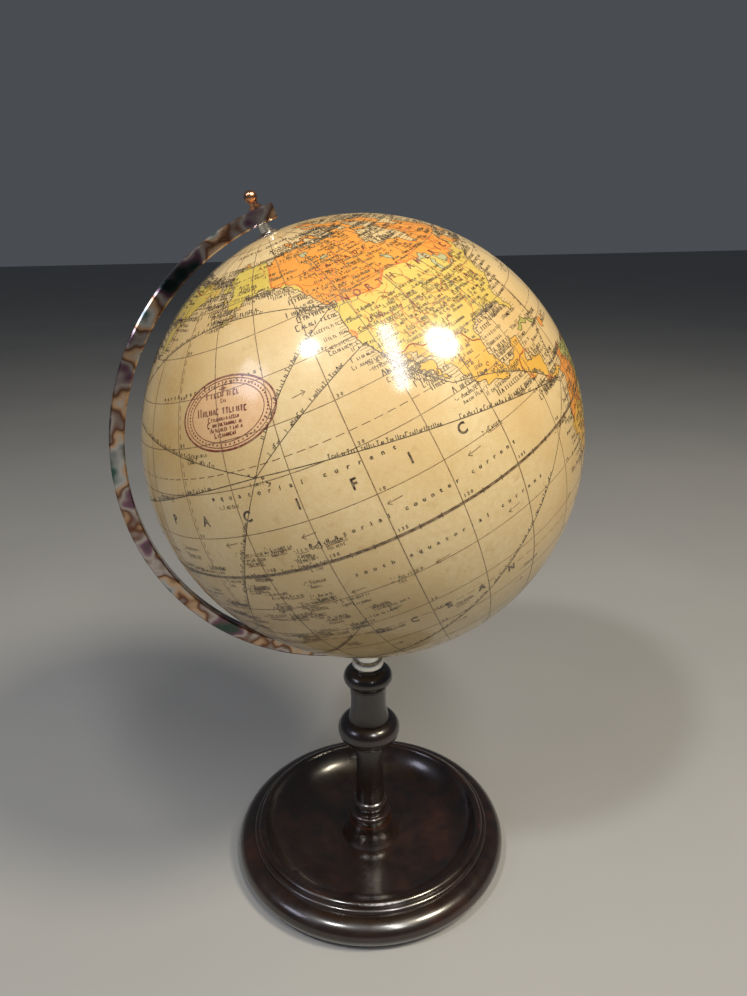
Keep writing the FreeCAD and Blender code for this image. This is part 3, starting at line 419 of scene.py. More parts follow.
def wrapped(outline):
    """An outline, and its copy one turn back if it runs past 180 degrees."""
    if max(lon for lon, _ in outline) <= 180:
        return [outline]
    return [outline, [(lon - 360, lat) for lon, lat in outline]]


LAND_OUTLINES = []
for name, text in LAND.items():
    coast = roughen(corners(text), ICE_ROUGH if name == "antarctica" else COAST_ROUGH)
    LAND_OUTLINES += [(name, part) for part in wrapped(stepped(coast))]
LAKE_OUTLINES = [roughen(corners(text), LAKE_ROUGH) for text in LAKES.values()]
COUNTRY_OUTLINES = []
for tint, text in COUNTRIES:
    border = roughen(corners(text), BORDER_ROUGH)
    COUNTRY_OUTLINES += [(tint, part) for part in wrapped(stepped(border))]


def survey(step):
    """Grid of the whole map that says where there is dry land."""
    lons = np.arange(-180 + step / 2, 180, step)
    lats = np.arange(-90 + step / 2, 90, step)
    places = np.stack(np.meshgrid(lons, lats), axis=-1).reshape(-1, 2)
    dry = np.zeros(len(places), dtype=bool)
    for _, outline in LAND_OUTLINES:
        dry |= inside(places, outline)
    for outline in LAKE_OUTLINES:
        dry &= ~inside(places, outline)
    return dry.reshape(len(lats), len(lons))


SURVEY_STEP = 0.5
SURVEY = survey(SURVEY_STEP)


def on_land(places):
    """Whether each place is on dry land, to the nearest square of the survey."""
    lons, lats = np.asarray(places, dtype=float).T
    rows = ((lats + 90) / SURVEY_STEP).astype(int).clip(0, SURVEY.shape[0] - 1)
    columns = ((lons + 180) % 360 / SURVEY_STEP).astype(int).clip(0, SURVEY.shape[1] - 1)
    return SURVEY[rows, columns]


# ---- Materials ----------------------------------------------------------------------------------

# The Mix node's sockets when it mixes colours.
MIX_FACTOR = 0
MIX_FIRST = 6
MIX_SECOND = 7
MIX_RESULT = 2


class Material:
    """A Principled material, with short ways to add nodes to it."""

    def __init__(self, name, **values):
        self.material = bpy.data.materials.new(name)
        self.material.use_nodes = True
        self.nodes = self.material.node_tree.nodes
        self.links = self.material.node_tree.links
        self.shader = self.nodes["Principled BSDF"]
        self.place = self.nodes.new("ShaderNodeTexCoord").outputs["Object"]
        for socket, value in values.items():
            self.shader.inputs[socket.replace("_", " ")].default_value = value

    def link(self, output, socket):
        """Feed one of the shader's sockets."""
        self.links.new(output, self.shader.inputs[socket])

    def stretch(self, scale):
        """The piece's own coordinates, scaled."""
        mapping = self.nodes.new("ShaderNodeMapping")
        mapping.inputs["Scale"].default_value = scale
        self.links.new(self.place, mapping.inputs["Vector"])
        return mapping.outputs["Vector"]

    def noise(self, scale, detail=4.0, rough=0.55, place=None):
        """Noise with so many features to a metre."""
        node = self.nodes.new("ShaderNodeTexNoise")
        node.inputs["Scale"].default_value = scale
        node.inputs["Detail"].default_value = detail
        node.inputs["Roughness"].default_value = rough
        self.links.new(place or self.place, node.inputs["Vector"])
        return node.outputs["Fac"]

    def ramp(self, factor, *stops):
        """Colour ramp of (position, colour) stops."""
        node = self.nodes.new("ShaderNodeValToRGB")
        while len(node.color_ramp.elements) < len(stops):
            node.color_ramp.elements.new(0.5)
        for element, (position, colour) in zip(node.color_ramp.elements, stops):
            element.position = position
            element.color = (*colour, 1)
        self.links.new(factor, node.inputs["Fac"])
        return node.outputs["Color"]

    def patches(self, factor, low, high, strength=1.0):
        """Black where the factor is low, grey of a strength where it is high."""
        return self.ramp(factor, (low, (0, 0, 0)), (high, (strength, strength, strength)))

    def span(self, factor, low, high):
        """The factor's middle range as a number from low to high."""
        node = self.nodes.new("ShaderNodeMapRange")
        for socket, value in (("From Min", 0.3), ("From Max", 0.7), ("To Min", low), ("To Max", high)):
            node.inputs[socket].default_value = value
        self.links.new(factor, node.inputs["Value"])
        return node.outputs["Result"]

    def mix(self, factor, first, second, kind="MIX"):
        """Mix two colours. Each value is a socket, a plain colour or a plain number."""
        node = self.nodes.new("ShaderNodeMix")
        node.data_type = "RGBA"
        node.blend_type = kind
        for socket, value in ((MIX_FACTOR, factor), (MIX_FIRST, first), (MIX_SECOND, second)):
            if isinstance(value, bpy.types.NodeSocket):
                self.links.new(value, node.inputs[socket])
            elif isinstance(value, tuple):
                node.inputs[socket].default_value = (*value, 1)
            else:
                node.inputs[socket].default_value = value
        return node.outputs[MIX_RESULT]

    def bump(self, height, depth):
        """Raise the surface by a height of so many millimetres."""
        node = self.nodes.new("ShaderNodeBump")
        node.inputs["Distance"].default_value = depth * MM
        self.links.new(height, node.inputs["Height"])
        self.link(node.outputs["Normal"], "Normal")


PAPER = {
    "ocean": (0.66, 0.52, 0.29),
    "cream": (0.70, 0.56, 0.30),
    "white": (0.72, 0.62, 0.42),
    "yellow": (0.60, 0.48, 0.12),
    "amber": (0.70, 0.43, 0.075),
    "orange": (0.74, 0.32, 0.055),
    "rose": (0.70, 0.33, 0.15),
    "green": (0.40, 0.42, 0.13),
    "olive": (0.60, 0.49, 0.11),
    "lake": (0.42, 0.44, 0.26),
    "label": (0.74, 0.51, 0.31),
}

# What age does to paper, as its share of the red, green and blue that were there.
STAINED = (0.80, 0.66, 0.44)
FOXED = (0.60, 0.46, 0.28)
UNEVEN = (0.86, 0.78, 0.62)
INK_FADE = 0.25                            # how far thin ink goes towards the paper's colour


def toned(colour, tone):
    """A colour darkened by a tone, channel by channel."""
    return tuple(value * share for value, share in zip(colour, tone))


def paper(tint, colour):
    """Printed paper under old varnish: stained, grainy, and glossy on top."""
    made = Material(f"paper_{tint}", Roughness=0.5, Coat_Weight=0.8, Coat_Roughness=0.12, Coat_IOR=1.5)
    stains = made.patches(made.noise(11, 5, 0.6), 0.42, 0.66)
    aged = made.mix(stains, colour, toned(colour, STAINED))
    spots = made.patches(made.noise(130, 6, 0.7), 0.58, 0.74, 0.6)
    aged = made.mix(spots, aged, toned(colour, FOXED))
    clouds = made.patches(made.noise(420, 3), 0.35, 0.65, 0.45)
    aged = made.mix(clouds, aged, toned(colour, UNEVEN))
    grain = made.ramp(made.noise(2600, 2), (0.3, (0.88, 0.87, 0.84)), (0.7, (1, 1, 1)))
    made.link(made.mix(1.0, aged, grain, "MULTIPLY"), "Base Color")
    made.link(made.span(made.noise(60, 4), 0.42, 0.62), "Roughness")
    made.bump(made.noise(420, 4, 0.6), 0.05)
    return made.material


def ink(name, colour):
    """Printing ink, thin enough for the paper to show in places."""
    made = Material(name, Roughness=0.5, Coat_Weight=0.75, Coat_Roughness=0.13, Coat_IOR=1.5)
    thin = tuple(value + (base - value) * INK_FADE for value, base in zip(colour, PAPER["ocean"]))
    worn = made.patches(made.noise(500, 3), 0.40, 0.68)
    made.link(made.mix(worn, colour, thin), "Base Color")
    return made.material


def ebonised_wood():
    """Near-black polish over mahogany, thin and red where it is rubbed."""
    made = Material("ebonised_wood", Coat_Weight=1.0, Coat_Roughness=0.16, Coat_IOR=1.5)
    grain = made.noise(90, 6, 0.65, made.stretch((1, 1, 0.18)))
    dark = made.ramp(grain, (0.35, (0.0045, 0.0020, 0.0012)), (0.75, (0.017, 0.0062, 0.0030)))
    rubbed = made.patches(made.noise(38, 5, 0.6), 0.56, 0.84, 0.34)
    pointed = made.nodes.new("ShaderNodeNewGeometry").outputs["Pointiness"]
    wear = made.mix(0.55, rubbed, made.patches(pointed, 0.51, 0.60, 0.5), "ADD")
    made.link(made.mix(wear, dark, (0.075, 0.020, 0.007)), "Base Color")
    made.link(made.span(made.noise(70, 5), 0.22, 0.42), "Roughness")
    made.bump(made.noise(260, 4, 0.6, made.stretch((1, 1, 0.3))), 0.03)
    return made.material


def plate(name, colour, dull, smooth, rough, spots=0.35, painted_reflections=None):
    """Plated or solid metal with tarnish in patches, and perhaps bands of painted reflection that replace its
    colour and lower its metalness a little.
    """
    made = Material(name, Metallic=1.0)
    tarnish = made.patches(made.noise(150, 6, 0.65), 0.50, 0.72, spots)
    # Painted reflection: the given bands of colour, in random patches, stand in for the surroundings the metal
    # would mirror.
    if painted_reflections:
        pattern = made.noise(55, 2, 0.5)
        colour = made.ramp(pattern, *painted_reflections)
        made.link(made.span(pattern, 0.7, 1.0), "Metallic")
    made.link(made.mix(tarnish, colour, dull), "Base Color")
    made.link(made.span(made.noise(240, 5), smooth, rough), "Roughness")
    made.bump(made.noise(900, 3), 0.004)
    return made.material


def plain(name, low_colour, high_colour, scale, roughness, depth, stretch=(1, 1, 1), **values):
    """Unpolished stuff with two tones and a textured surface."""
    made = Material(name, Roughness=roughness, **values)
    texture = made.noise(scale, 6, 0.65, made.stretch(stretch))
    made.link(made.ramp(texture, (0.3, low_colour), (0.7, high_colour)), "Base Color")
    made.bump(texture, depth)
    return made.material


papers = {tint: paper(tint, colour) for tint, colour in PAPER.items()}
dark_ink = ink("ink_dark", (0.024, 0.011, 0.006))
line_ink = ink("ink_line", (0.13, 0.070, 0.028))
land_ink = ink("ink_land", (0.085, 0.048, 0.008))
border_ink = ink("ink_border", (0.48, 0.10, 0.010))
red_ink = ink("ink_red", (0.13, 0.014, 0.006))
blue_ink = ink("ink_blue", (0.10, 0.12, 0.08))

# The darker and the lighter tone of the plain stuffs.
WOOD = ((0.42, 0.25, 0.12), (0.60, 0.42, 0.24))
BOARD = ((0.26, 0.20, 0.14), (0.42, 0.34, 0.25))
BAIZE = ((0.010, 0.045, 0.020), (0.025, 0.09, 0.045))

CHROME = (0.44, 0.44, 0.43)
# Painted reflections for the chrome finish: dark green, grey, tan, dark brown, pale grey and plum bands laid into
# its colour in place of the coloured surroundings it would mirror.
CHROME_PAINTED_REFLECTIONS = [
    (0.34, (0.05, 0.10, 0.09)),
    (0.40, CHROME),
    (0.46, (0.55, 0.36, 0.22)),
    (0.50, (0.14, 0.055, 0.03)),
    (0.55, (0.46, 0.41, 0.38)),
    (0.60, (0.20, 0.10, 0.15)),
    (0.68, (0.05, 0.08, 0.07)),
]
finishes = {
    "ebonised_wood": ebonised_wood(),
    "chrome": plate("chrome", CHROME, (0.20, 0.13, 0.09), 0.07, 0.16, 0.3, CHROME_PAINTED_REFLECTIONS),
    "bright_chrome": plate("bright_chrome", (0.80, 0.79, 0.76), (0.30, 0.24, 0.18), 0.16, 0.30, 0.25),
    "nickel_plate": plate("nickel_plate", (0.78, 0.75, 0.68), (0.34, 0.27, 0.19), 0.18, 0.36),
    "brass": plate("brass", (0.72, 0.36, 0.20), (0.20, 0.09, 0.05), 0.16, 0.34, 0.6),
    "steel": plate("steel", (0.42, 0.42, 0.43), (0.16, 0.11, 0.08), 0.28, 0.5),
    "plain_wood": plain("plain_wood", *WOOD, scale=120, roughness=0.6, depth=0.05, stretch=(1, 1, 0.1)),
    "pulp_board": plain("pulp_board", *BOARD, scale=500, roughness=0.9, depth=0.1),
    "baize": plain("baize", *BAIZE, scale=1500, roughness=0.95, depth=0.2, Sheen_Weight=0.5),
    "printed_paper": papers["ocean"],
}
finish_of = {part["node"]: part["material_slot"] for part in frame["record"]["subparts"]}
finish_of["column_ferrule"] = "bright_chrome"      # the ferrule keeps its plain bright plating; the arm's chrome colour carries painted reflections
for node, thing in frame["nodes"].items():
    thing.data.materials.clear()
    thing.data.materials.append(finishes[finish_of[node]])

# ---- The gores ----------------------------------------------------------------------------------

PAPER_THICKNESS = 0.3                              # millimetres
OWN_TINT = ("britain", "ireland", "madagascar", "iceland", "honshu", "cuba", "greenland")


def finish_piece(name, points, faces, materials, choice, normals):
    """Make a mesh whose normals are given for each face's corners, riding on the ball."""
    mesh = bpy.data.meshes.new(name)
    mesh.from_pydata([tuple(point) for point in points], [], faces)
    for material in materials:
        mesh.materials.append(material)
    mesh.polygons.foreach_set("material_index", choice)
    mesh.polygons.foreach_set("use_smooth", [True] * len(faces))
    mesh.normals_split_custom_set(normals)
    piece = bpy.data.objects.new(name, mesh)
    bpy.context.scene.collection.objects.link(piece)
    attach(piece, "globe")
    return piece


def cut_map():
    """Cut the whole map into triangles along every coast, border, gore edge and label edge."""
    points = []
    edges = []

    def add(outline, closed=True):
        first = len(points)
        points.extend(outline)
        edges.extend(edges_of(list(range(first, len(points))), closed))

    for _, outline in LAND_OUTLINES + COUNTRY_OUTLINES:
        add(outline)
    for outline in LAKE_OUTLINES:
        add(outline)
    add(oval(*CARTOUCHE))
    for lon in range(-180, 181, GORE):
        add(stepped([(lon, -CALOTTE), (lon, CALOTTE)], False), False)
    for lat in (-CALOTTE, CALOTTE):
        add(stepped([(-180, lat), (180, lat)], False), False)
    for lon in range(-180, 180, FILL_STEP):
        points.extend((lon + FILL_STEP / 2, lat) for lat in range(-80, 81, FILL_STEP))
    result = delaunay_2d_cdt([Vector(point) for point in points], edges, [], 0, 1e-5, False)
    return np.array([tuple(point) for point in result[0]]), np.array([tuple(face) for face in result[2]])


def tint_map(middles):
    """The printed tint at the middle of each triangle."""
    tints = np.full(len(middles), "ocean", dtype=object)
    free = np.zeros(len(middles), dtype=bool)
    for name, outline in LAND_OUTLINES:
        hits = inside(middles, outline)
        tints[hits] = LAND_TINT.get(name, DEFAULT_TINT)
        free |= hits
    for name, outline in LAND_OUTLINES:
        if name in OWN_TINT:
            free &= ~inside(middles, outline)
    for tint, outline in COUNTRY_OUTLINES:
        tints[inside(middles, outline) & free] = tint
    for outline in LAKE_OUTLINES:
        tints[inside(middles, outline)] = "lake"
    tints[inside(middles, oval(*CARTOUCHE))] = "label"
    return tints


def closed_sheet(flat, triangles):
    """Lay triangles of the map on the ball, and close them with an inner skin and a rim."""
    used, renumbered = np.unique(triangles, return_inverse=True)
    ways = [direction(lon, lat) for lon, lat in flat[used]]
    count = len(ways)
    points = [surface(way) for way in ways] + [surface(way, -PAPER_THICKNESS) for way in ways]
    outer = [tuple(int(corner) for corner in face) for face in renumbered.reshape(triangles.shape)]
    first, second, third = (points[corner] for corner in outer[0])
    if (second - first).cross(third - first).dot(first - CENTRE) < 0:
        outer = [face[::-1] for face in outer]
    inner = [tuple(corner + count for corner in reversed(face)) for face in outer]
    sides = [side for face in outer for side in edges_of(face)]
    shared = set(sides)
    rim = [(end, start, start + count, end + count) for start, end in sides if (end, start) not in shared]
    normals = [tuple(ways[corner]) for face in outer for corner in face]
    normals += [tuple(-ways[corner - count]) for face in inner for corner in face]
    for start, end, *_ in rim:
        flank = (points[start] - points[end]).cross(ways[end]).normalized()
        normals += [tuple(flank)] * 4
    return points, outer, inner + rim, normals


def make_gores():
    """Twelve closed lunes of paper, each in place of its CAD node. Gore 01 starts at 30 degrees west."""
    flat, triangles = cut_map()
    middles = flat[triangles].mean(axis=1)
    keep = (np.abs(middles[:, 0]) < 180) & (np.abs(middles[:, 1]) < CALOTTE)
    triangles = triangles[keep]
    middles = middles[keep]
    tints = tint_map(middles)
    names = list(PAPER)
    for west in range(-180, 180, GORE):
        chosen = (middles[:, 0] > west) & (middles[:, 0] < west + GORE)
        points, outer, others, normals = closed_sheet(flat, triangles[chosen])
        choice = [names.index(tint) for tint in tints[chosen]] + [0] * len(others)
        number = (west // GORE + 1) % GORES + 1
        name = f"map_gore_{number:02d}"
        piece = finish_piece(name, points, outer + others, list(papers.values()), choice, normals)
        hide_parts(f"gore_{number:02d}")


# ---- Printed lines ------------------------------------------------------------------------------


def turned_axes(way, turn):
    """Unit vectors east and north of a direction, turned anticlockwise by so many radians."""
    right = POLE.cross(way).normalized()
    up = way.cross(right)
    cosine = math.cos(turn)
    sine = math.sin(turn)
    return right * cosine + up * sine, up * cosine - right * sine


class Print:
    """Marks in one ink, gathered into one piece that lies just over the paper.

    The lift and every width are in millimetres.
    """

    def __init__(self, name, material, lift):
        self.name = name
        self.material = material
        self.lift = lift
        self.points = []
        self.faces = []

    def area(self, ways, faces):
        """Flat faces between unit vectors."""
        first = len(self.points)
        self.points.extend(surface(way.normalized(), self.lift) for way in ways)
        self.faces.extend(tuple(first + corner for corner in face) for face in faces)

    def ribbon(self, ways, width, closed=False):
        """A line through unit vectors."""
        half = width * MM / 2 / RADIUS
        count = len(ways)
        sides = []
        for index, way in enumerate(ways):
            before = ways[index - 1] if index or closed else way
            after = ways[(index + 1) % count] if index < count - 1 or closed else way
            across = way.cross(after - before).normalized() * half
            sides += [way - across, way + across]
        rungs = edges_of(list(range(count)), closed)
        self.area(sides, [(2 * end, 2 * end + 1, 2 * start + 1, 2 * start) for start, end in rungs])

    def line(self, points, width, closed=False):
        """A line through (longitude, latitude) corners."""
        self.ribbon([direction(lon, lat) for lon, lat in stepped(points, closed)], width, closed)

    def stroke(self, lon, lat, east, north, shape, width, turn=0.0):
        """A short stroke near a place. Its ends are in millimetres east and north of it, then turned."""
        way = direction(lon, lat)
        right, up = turned_axes(way, turn)
        ends = [way + (right * (x + east) + up * (y + north)) * MM / RADIUS for x, y in shape]
        self.ribbon([end.normalized() for end in ends], width)

    def done(self):
        """Make the piece."""
        normals = []
        for face in self.faces:
            normals += [tuple((self.points[corner] - CENTRE).normalized()) for corner in face]
        choice = [0] * len(self.faces)
        finish_piece(self.name, self.points, self.faces, [self.material], choice, normals)


def print_coasts():
    """Coasts of land and lakes, without the stretches that other land covers."""
    coast = Print("print_coasts", dark_ink, lift=0.05)
    for name, outline in LAND_OUTLINES:
        edges = edges_of(outline)
        middles = [midpoint(start, end) for start, end in edges]
        hidden = np.zeros(len(middles), dtype=bool)
        for other, cover in LAND_OUTLINES:
            if other != name:
                hidden |= inside(middles, cover)
        for edge, (lon, lat), skip in zip(edges, middles, hidden):
            if not skip and abs(lat) < CALOTTE and abs(lon) < 180:
                coast.line(edge, width=0.3)
    for outline in LAKE_OUTLINES:
        coast.line(outline, width=0.24, closed=True)
    coast.done()


def print_borders():
    """The stretches of the countries' outlines that run over land."""
    borders = Print("print_borders", border_ink, lift=0.045)
    for _, outline in COUNTRY_OUTLINES:
        edges = edges_of(outline)
        for edge, dry in zip(edges, on_land([midpoint(start, end) for start, end in edges])):
            if dry:
                borders.line(edge, width=0.55)
    borders.done()


def print_rivers():
    """The great rivers."""
    rivers = Print("print_rivers", blue_ink, lift=0.04)
    for text in RIVERS:
        rivers.line(roughen(corners(text), RIVER_ROUGH, False), width=0.22)
    rivers.done()


def print_graticule():
    """Meridians, parallels, and the broken lines of the tropics and polar circles."""
    grid = Print("print_graticule", line_ink, lift=0.035)
    for lon in range(-180, 180, 15):
        grid.line([(lon, -CALOTTE), (lon, CALOTTE)], width=0.32)
    for lat in range(-80, 81, 10):
        if lat:
            grid.line([(-180, lat), (180, lat)], width=0.25)
    for lat in (-66.5, -23.5, 23.5, 66.5):
        for lon in range(-180, 180, 3):
            grid.line([(lon, lat), (lon + 2, lat)], width=0.25)
    grid.done()


def print_equator():
    """The equator: a broad band, with a line and a chequered scale on it."""
    band = Print("print_equator_band", line_ink, lift=0.05)
    band.line([(-180, 0.0), (180, 0.0)], width=1.15)
    band.done()
    equator = Print("print_equator", dark_ink, lift=0.06)
    equator.line([(-180, 0.24), (180, 0.24)], width=0.3)
    for lon in range(-180, 180, 2):
        equator.line([(lon, -0.12), (lon + 1, -0.12)], width=0.35)
    for lon in range(-180, 180, 5):
        equator.line([(lon, -0.6), (lon, 0.6)], width=0.3)
    equator.done()


def route_ways(number):
    """Unit vectors along a ship route: a great circle, bowed sideways a little."""
    first, last = (direction(*port) for port in ROUTES[number])
    angle = first.angle(last)
    across = first.cross(last).normalized()
    bow = ROUTE_BOW * math.sin(number * ROUTE_SWAY)
    count = max(2, math.ceil(math.degrees(angle) / EDGE))
    ways = []
    for index in range(count + 1):
        part = index / count
        way = (first * math.sin((1 - part) * angle) + last * math.sin(part * angle)) / math.sin(angle)
        ways.append((way + across * bow * math.sin(math.pi * part)).normalized())
    return ways


def print_routes():
    """Ship routes."""
    routes = Print("print_routes", dark_ink, lift=0.065)
    for number in range(len(ROUTES)):
        routes.ribbon(route_ways(number), width=0.28)
    routes.done()


# ---- Lettering: plain words, spaced letters and degree numbers ----------------------------------

# Each word, where its first and last letters stand, their height in millimetres and, where it
# is not 1, their width as a share of the font's.
OCEAN_NAMES = [
    ("PACIFIC", (-188, 13.1), (-113.5, 12.4), 4.2, 0.9),
    ("OCEAN", (-149, -25), (-113, -25), 3.6, 0.9),
    ("NORTH", (-66, 42), (-48, 42), 2.0),
    ("ATLANTIC", (-58, 33), (-22, 33), 3.0),
    ("OCEAN", (-50, 17), (-26, 17), 3.0),
    ("ATLANTIC", (-26, -24), (6, -24), 3.0),
    ("INDIAN", (62, -16), (100, -16), 3.6),
    ("OCEAN", (66, -28), (98, -28), 3.0),
    ("ARCTIC OCEAN", (-170, 76.5), (-120, 76.5), 1.8),
    ("ANTARCTIC OCEAN", (-120, -66), (-20, -66), 2.0),
    ("SOUTHERN OCEAN", (40, -55), (120, -55), 2.0),
]
CURRENT_NAMES = [
    ("equatorial current", (-171, 18.4), (-128, 16.5), 1.7, 1.1),
    ("equatorial counter current", (-152, 4.6), (-104, 4.4), 1.7, 1.1),
    ("south equatorial current", (-146, -5.2), (-100, -6.6), 1.7, 1.1),
    ("north pacific current", (-188, 40.5), (-150, 41.5), 1.7, 0.9),
    ("gulf stream", (-74, 36), (-52, 42), 1.5),
    ("equatorial current", (-48, 8), (-18, 4), 1.5),
    ("west wind drift", (-150, -46), (-100, -48), 1.6),
    ("equatorial current", (60, -9), (95, -9), 1.6),
]
LAND_NAMES = [
    ("NORTH AMERICA", (-120, 47.8), (-70, 45.4), 3.3, 0.8),
    ("SOUTH", (-71, -5), (-50, -8), 3.2, 0.8),
    ("AMERICA", (-67, -14), (-47, -22), 2.6, 0.8),
    ("AFRICA", (2, 18), (34, -2), 4.0, 0.9),
    ("EUROPE", (9, 50), (38, 57), 2.6, 0.8),
    ("ASIA", (70, 52), (112, 40), 5.5, 0.9),
    ("AUSTRALIA", (119, -24), (148, -27), 2.8, 0.8),
    ("GREENLAND", (-50, 76), (-32, 68), 1.8, 0.8),
    ("UNITED STATES", (-118, 41), (-80, 37), 2.1, 0.8),
    ("CANADA", (-121, 58.5), (-99, 57.5), 2.2, 0.8),
    ("MEXICO", (-107, 26), (-98.5, 19.5), 1.6, 0.8),
    ("BRAZIL", (-60, -9), (-44, -12), 2.4, 0.8),
]
FONT_SIZE = 1.4                            # makes a capital letter about one unit high
BOLD = 0.03                                # how much the font's strokes are thickened
glyphs = {}


def glyph(letter):
    """A letter's filled outline, about one unit high."""
    if letter not in glyphs:
        curve = bpy.data.curves.new("letter", "FONT")
        curve.body = letter
        curve.size = FONT_SIZE
        curve.resolution_u = 3
        curve.offset = BOLD
        curve.align_x = "CENTER"
        writer = bpy.data.objects.new("letter", curve)
        mesh = bpy.data.meshes.new_from_object(writer)
        points = [tuple(vertex.co[:2]) for vertex in mesh.vertices]
        glyphs[letter] = (points, [tuple(face.vertices) for face in mesh.polygons])
        bpy.data.objects.remove(writer)
        bpy.data.curves.remove(curve)
        bpy.data.meshes.remove(mesh)
    return glyphs[letter]


def stamp(sheet, letter, lon, lat, height, turn=0.0, wide=1.0):
    """Print one letter with its foot at a place, turned anticlockwise by so many radians."""
    points, faces = glyph(letter)
    way = direction(lon, lat)
    right, up = turned_axes(way, turn)
    size = height * MM / RADIUS
    sheet.area([way + (right * (x * wide) + up * y) * size for x, y in points], faces)


def spaced(sheet, text, start, end, height, wide=1.0):
    """Print a word with its letters spread evenly between two places."""
    rise = (end[1] - start[1]) / (end[0] - start[0])
    turn = math.atan2(rise, math.cos(math.radians((start[1] + end[1]) / 2)))
    for index, letter in enumerate(text):
        part = index / (len(text) - 1)
        lon = start[0] + (end[0] - start[0]) * part
        stamp(sheet, letter, lon, start[1] + (end[1] - start[1]) * part, height, turn, wide)


def print_words(name, material, words, lift):
    """A piece of words that are spread out."""
    sheet = Print(name, material, lift)
    for word in words:
        spaced(sheet, *word)
    sheet.done()


def number_at(sheet, number, lon, lat, rise, height):
    """Print a number just east of a place, and raised a little."""
    squeeze = math.cos(math.radians(lat))
    for index, figure in enumerate(str(number)):
        stamp(sheet, figure, lon + (0.9 + index * 0.85) / squeeze, lat + rise, height)


def print_degrees():
    """Longitudes along the equator, and latitudes along every third meridian."""
    degrees = Print("print_degrees", dark_ink, lift=0.065)
    for lon in range(-180, 180, 15):
        number_at(degrees, abs(lon), lon, 0, 0.9, 1.3)
    for lon in range(-180, 180, 45):
        for lat in range(-70, 71, 10):
            if lat:
                number_at(degrees, abs(lat), lon, lat, 0.3, 1.2)
    degrees.done()


# ---- Names too small to read: rows of strokes ---------------------------------------------------

# Strokes that stand for a letter, one unit high.
SCRIBBLES = [
    [[(0, 0), (0, 1)], [(0.45, 0), (0.45, 1)]],
    [[(0, 0), (0, 1)]],
    [[(0, 0), (0.3, 1)], [(0.3, 1), (0.6, 0)]],
    [[(0, 1), (0.5, 1)], [(0.25, 1), (0.25, 0)]],
    [[(0, 0), (0, 1)], [(0, 0.05), (0.45, 0.05)]],
    [[(0, 0), (0.5, 0)], [(0, 1), (0.5, 1)], [(0, 0), (0, 1)]],
]
NAMED_ROUTES = 24                          # so many of the first routes carry names
LONG_COAST = 60                            # corners of an outline that counts as a long coast
TOWN_ROWS = 0.85                           # degrees between rows of towns
PROVINCE_LINES = 420
KEPT_CLEAR = (-123, -68, 44.3, 49.6)       # west, east, south and north of the great name's strip


def tiny_word(sheet, rng, lon, lat, count, height, width=0.2, turn=0.0):
    """A name in place of whose letters there are strokes. The first one is tall."""
    east = 0.0
    for index in range(count):
        scale = height * (1.25 if index == 0 else 0.8)
        for stroke in rng.choice(SCRIBBLES):
            shape = [(x * scale, y * scale) for x, y in stroke]
            sheet.stroke(lon, lat, east, 0.0, shape, width, turn)
        east += scale * (0.85 if rng.random() < 0.9 else 1.5)


def place_of(way):
    """Longitude and latitude of a direction from the ball's centre."""
    lat = math.degrees(math.asin(way.dot(POLE)))
    lon = math.degrees(math.atan2(way.dot(SIDE), way.dot(FRONT))) - ZERO_TURN
    return lon, lat


def route_words(sheet, rng, ways):
    """Short words along the middle of a route, for its name and length, with a gap here and there."""
    first = int(len(ways) * 0.2)
    last = int(len(ways) * 0.8)
    for start, end in zip(ways[first:last], ways[first + 1:last + 1]):
        if rng.random() < 0.12:
            continue
        foot = start
        east, north = turned_axes(start, 0.0)
        along = end - start
        turn = math.atan2(along.dot(north), along.dot(east))
        if abs(turn) > math.pi / 2:
            foot = end
            turn += math.pi
        tiny_word(sheet, rng, *place_of(foot), count=3, height=1.35, width=0.24, turn=turn)


def print_coast_names():
    """Names of ports and capes, set in the sea beside the coasts."""
    small = Print("print_coast_names", dark_ink, lift=0.065)
    rng = random.Random(11)
    for _, outline in LAND_OUTLINES:
        gap = 1.9 if len(outline) > LONG_COAST else 5.0
        walked = rng.uniform(0, gap)
        for start, end in zip(outline, outline[1:]):
            lon, lat = start
            walked += math.dist(start, end)
            if walked < gap or abs(lat) > 76 or abs(lon) > 179:
                continue
            walked = rng.uniform(-0.6, 0.4)
            count = rng.randint(5, 12)
            bold = rng.random() < 0.2
            height = 1.9 if bold else 1.3
            reach = count * height * 0.7 / math.cos(math.radians(lat)) / MM_PER_DEGREE
            for foot in (lon - reach - 0.8, lon + 0.8):
                if not on_land([(foot + reach * part, lat) for part in (0.3, 0.6)]).any():
                    tiny_word(small, rng, foot, lat - 0.3, count, height, 0.34 if bold else 0.22)
                    break
    small.done()


def print_island_names():
    """Dots for the small islands, each with its name, thickest in the south-west Pacific."""
    small = Print("print_island_names", dark_ink, lift=0.065)
    red = Print("print_island_underlines", red_ink, lift=0.06)
    rng = random.Random(23)
    crowd = [(rng.uniform(162, 214), rng.uniform(-27, 6)) for _ in range(75)]
    crowd = [((lon + 180) % 360 - 180, lat) for lon, lat in crowd]
    for (lon, lat), dry in zip(ISLANDS + crowd, on_land(ISLANDS + crowd)):
        if dry:
            continue
        for _ in range(rng.randint(3, 6)):
            spot = (rng.uniform(-1.6, 1.6), rng.uniform(-1.3, 1.3))
            small.stroke(lon, lat, *spot, [(0, 0), (0.35, 0.12)], width=0.36)
        count = rng.randint(5, 11)
        tiny_word(small, rng, lon + 1.0, lat - 0.4, count, height=1.3, width=0.24)
        if rng.random() < 0.55:
            red.stroke(lon, lat, 1.6, -1.2, [(0, 0), (count * 0.95, 0)], width=0.22)
        if rng.random() < 0.5:
            tiny_word(small, rng, lon + 0.6, lat - 1.6, rng.randint(4, 8), height=1.1)
    red.done()
    small.done()


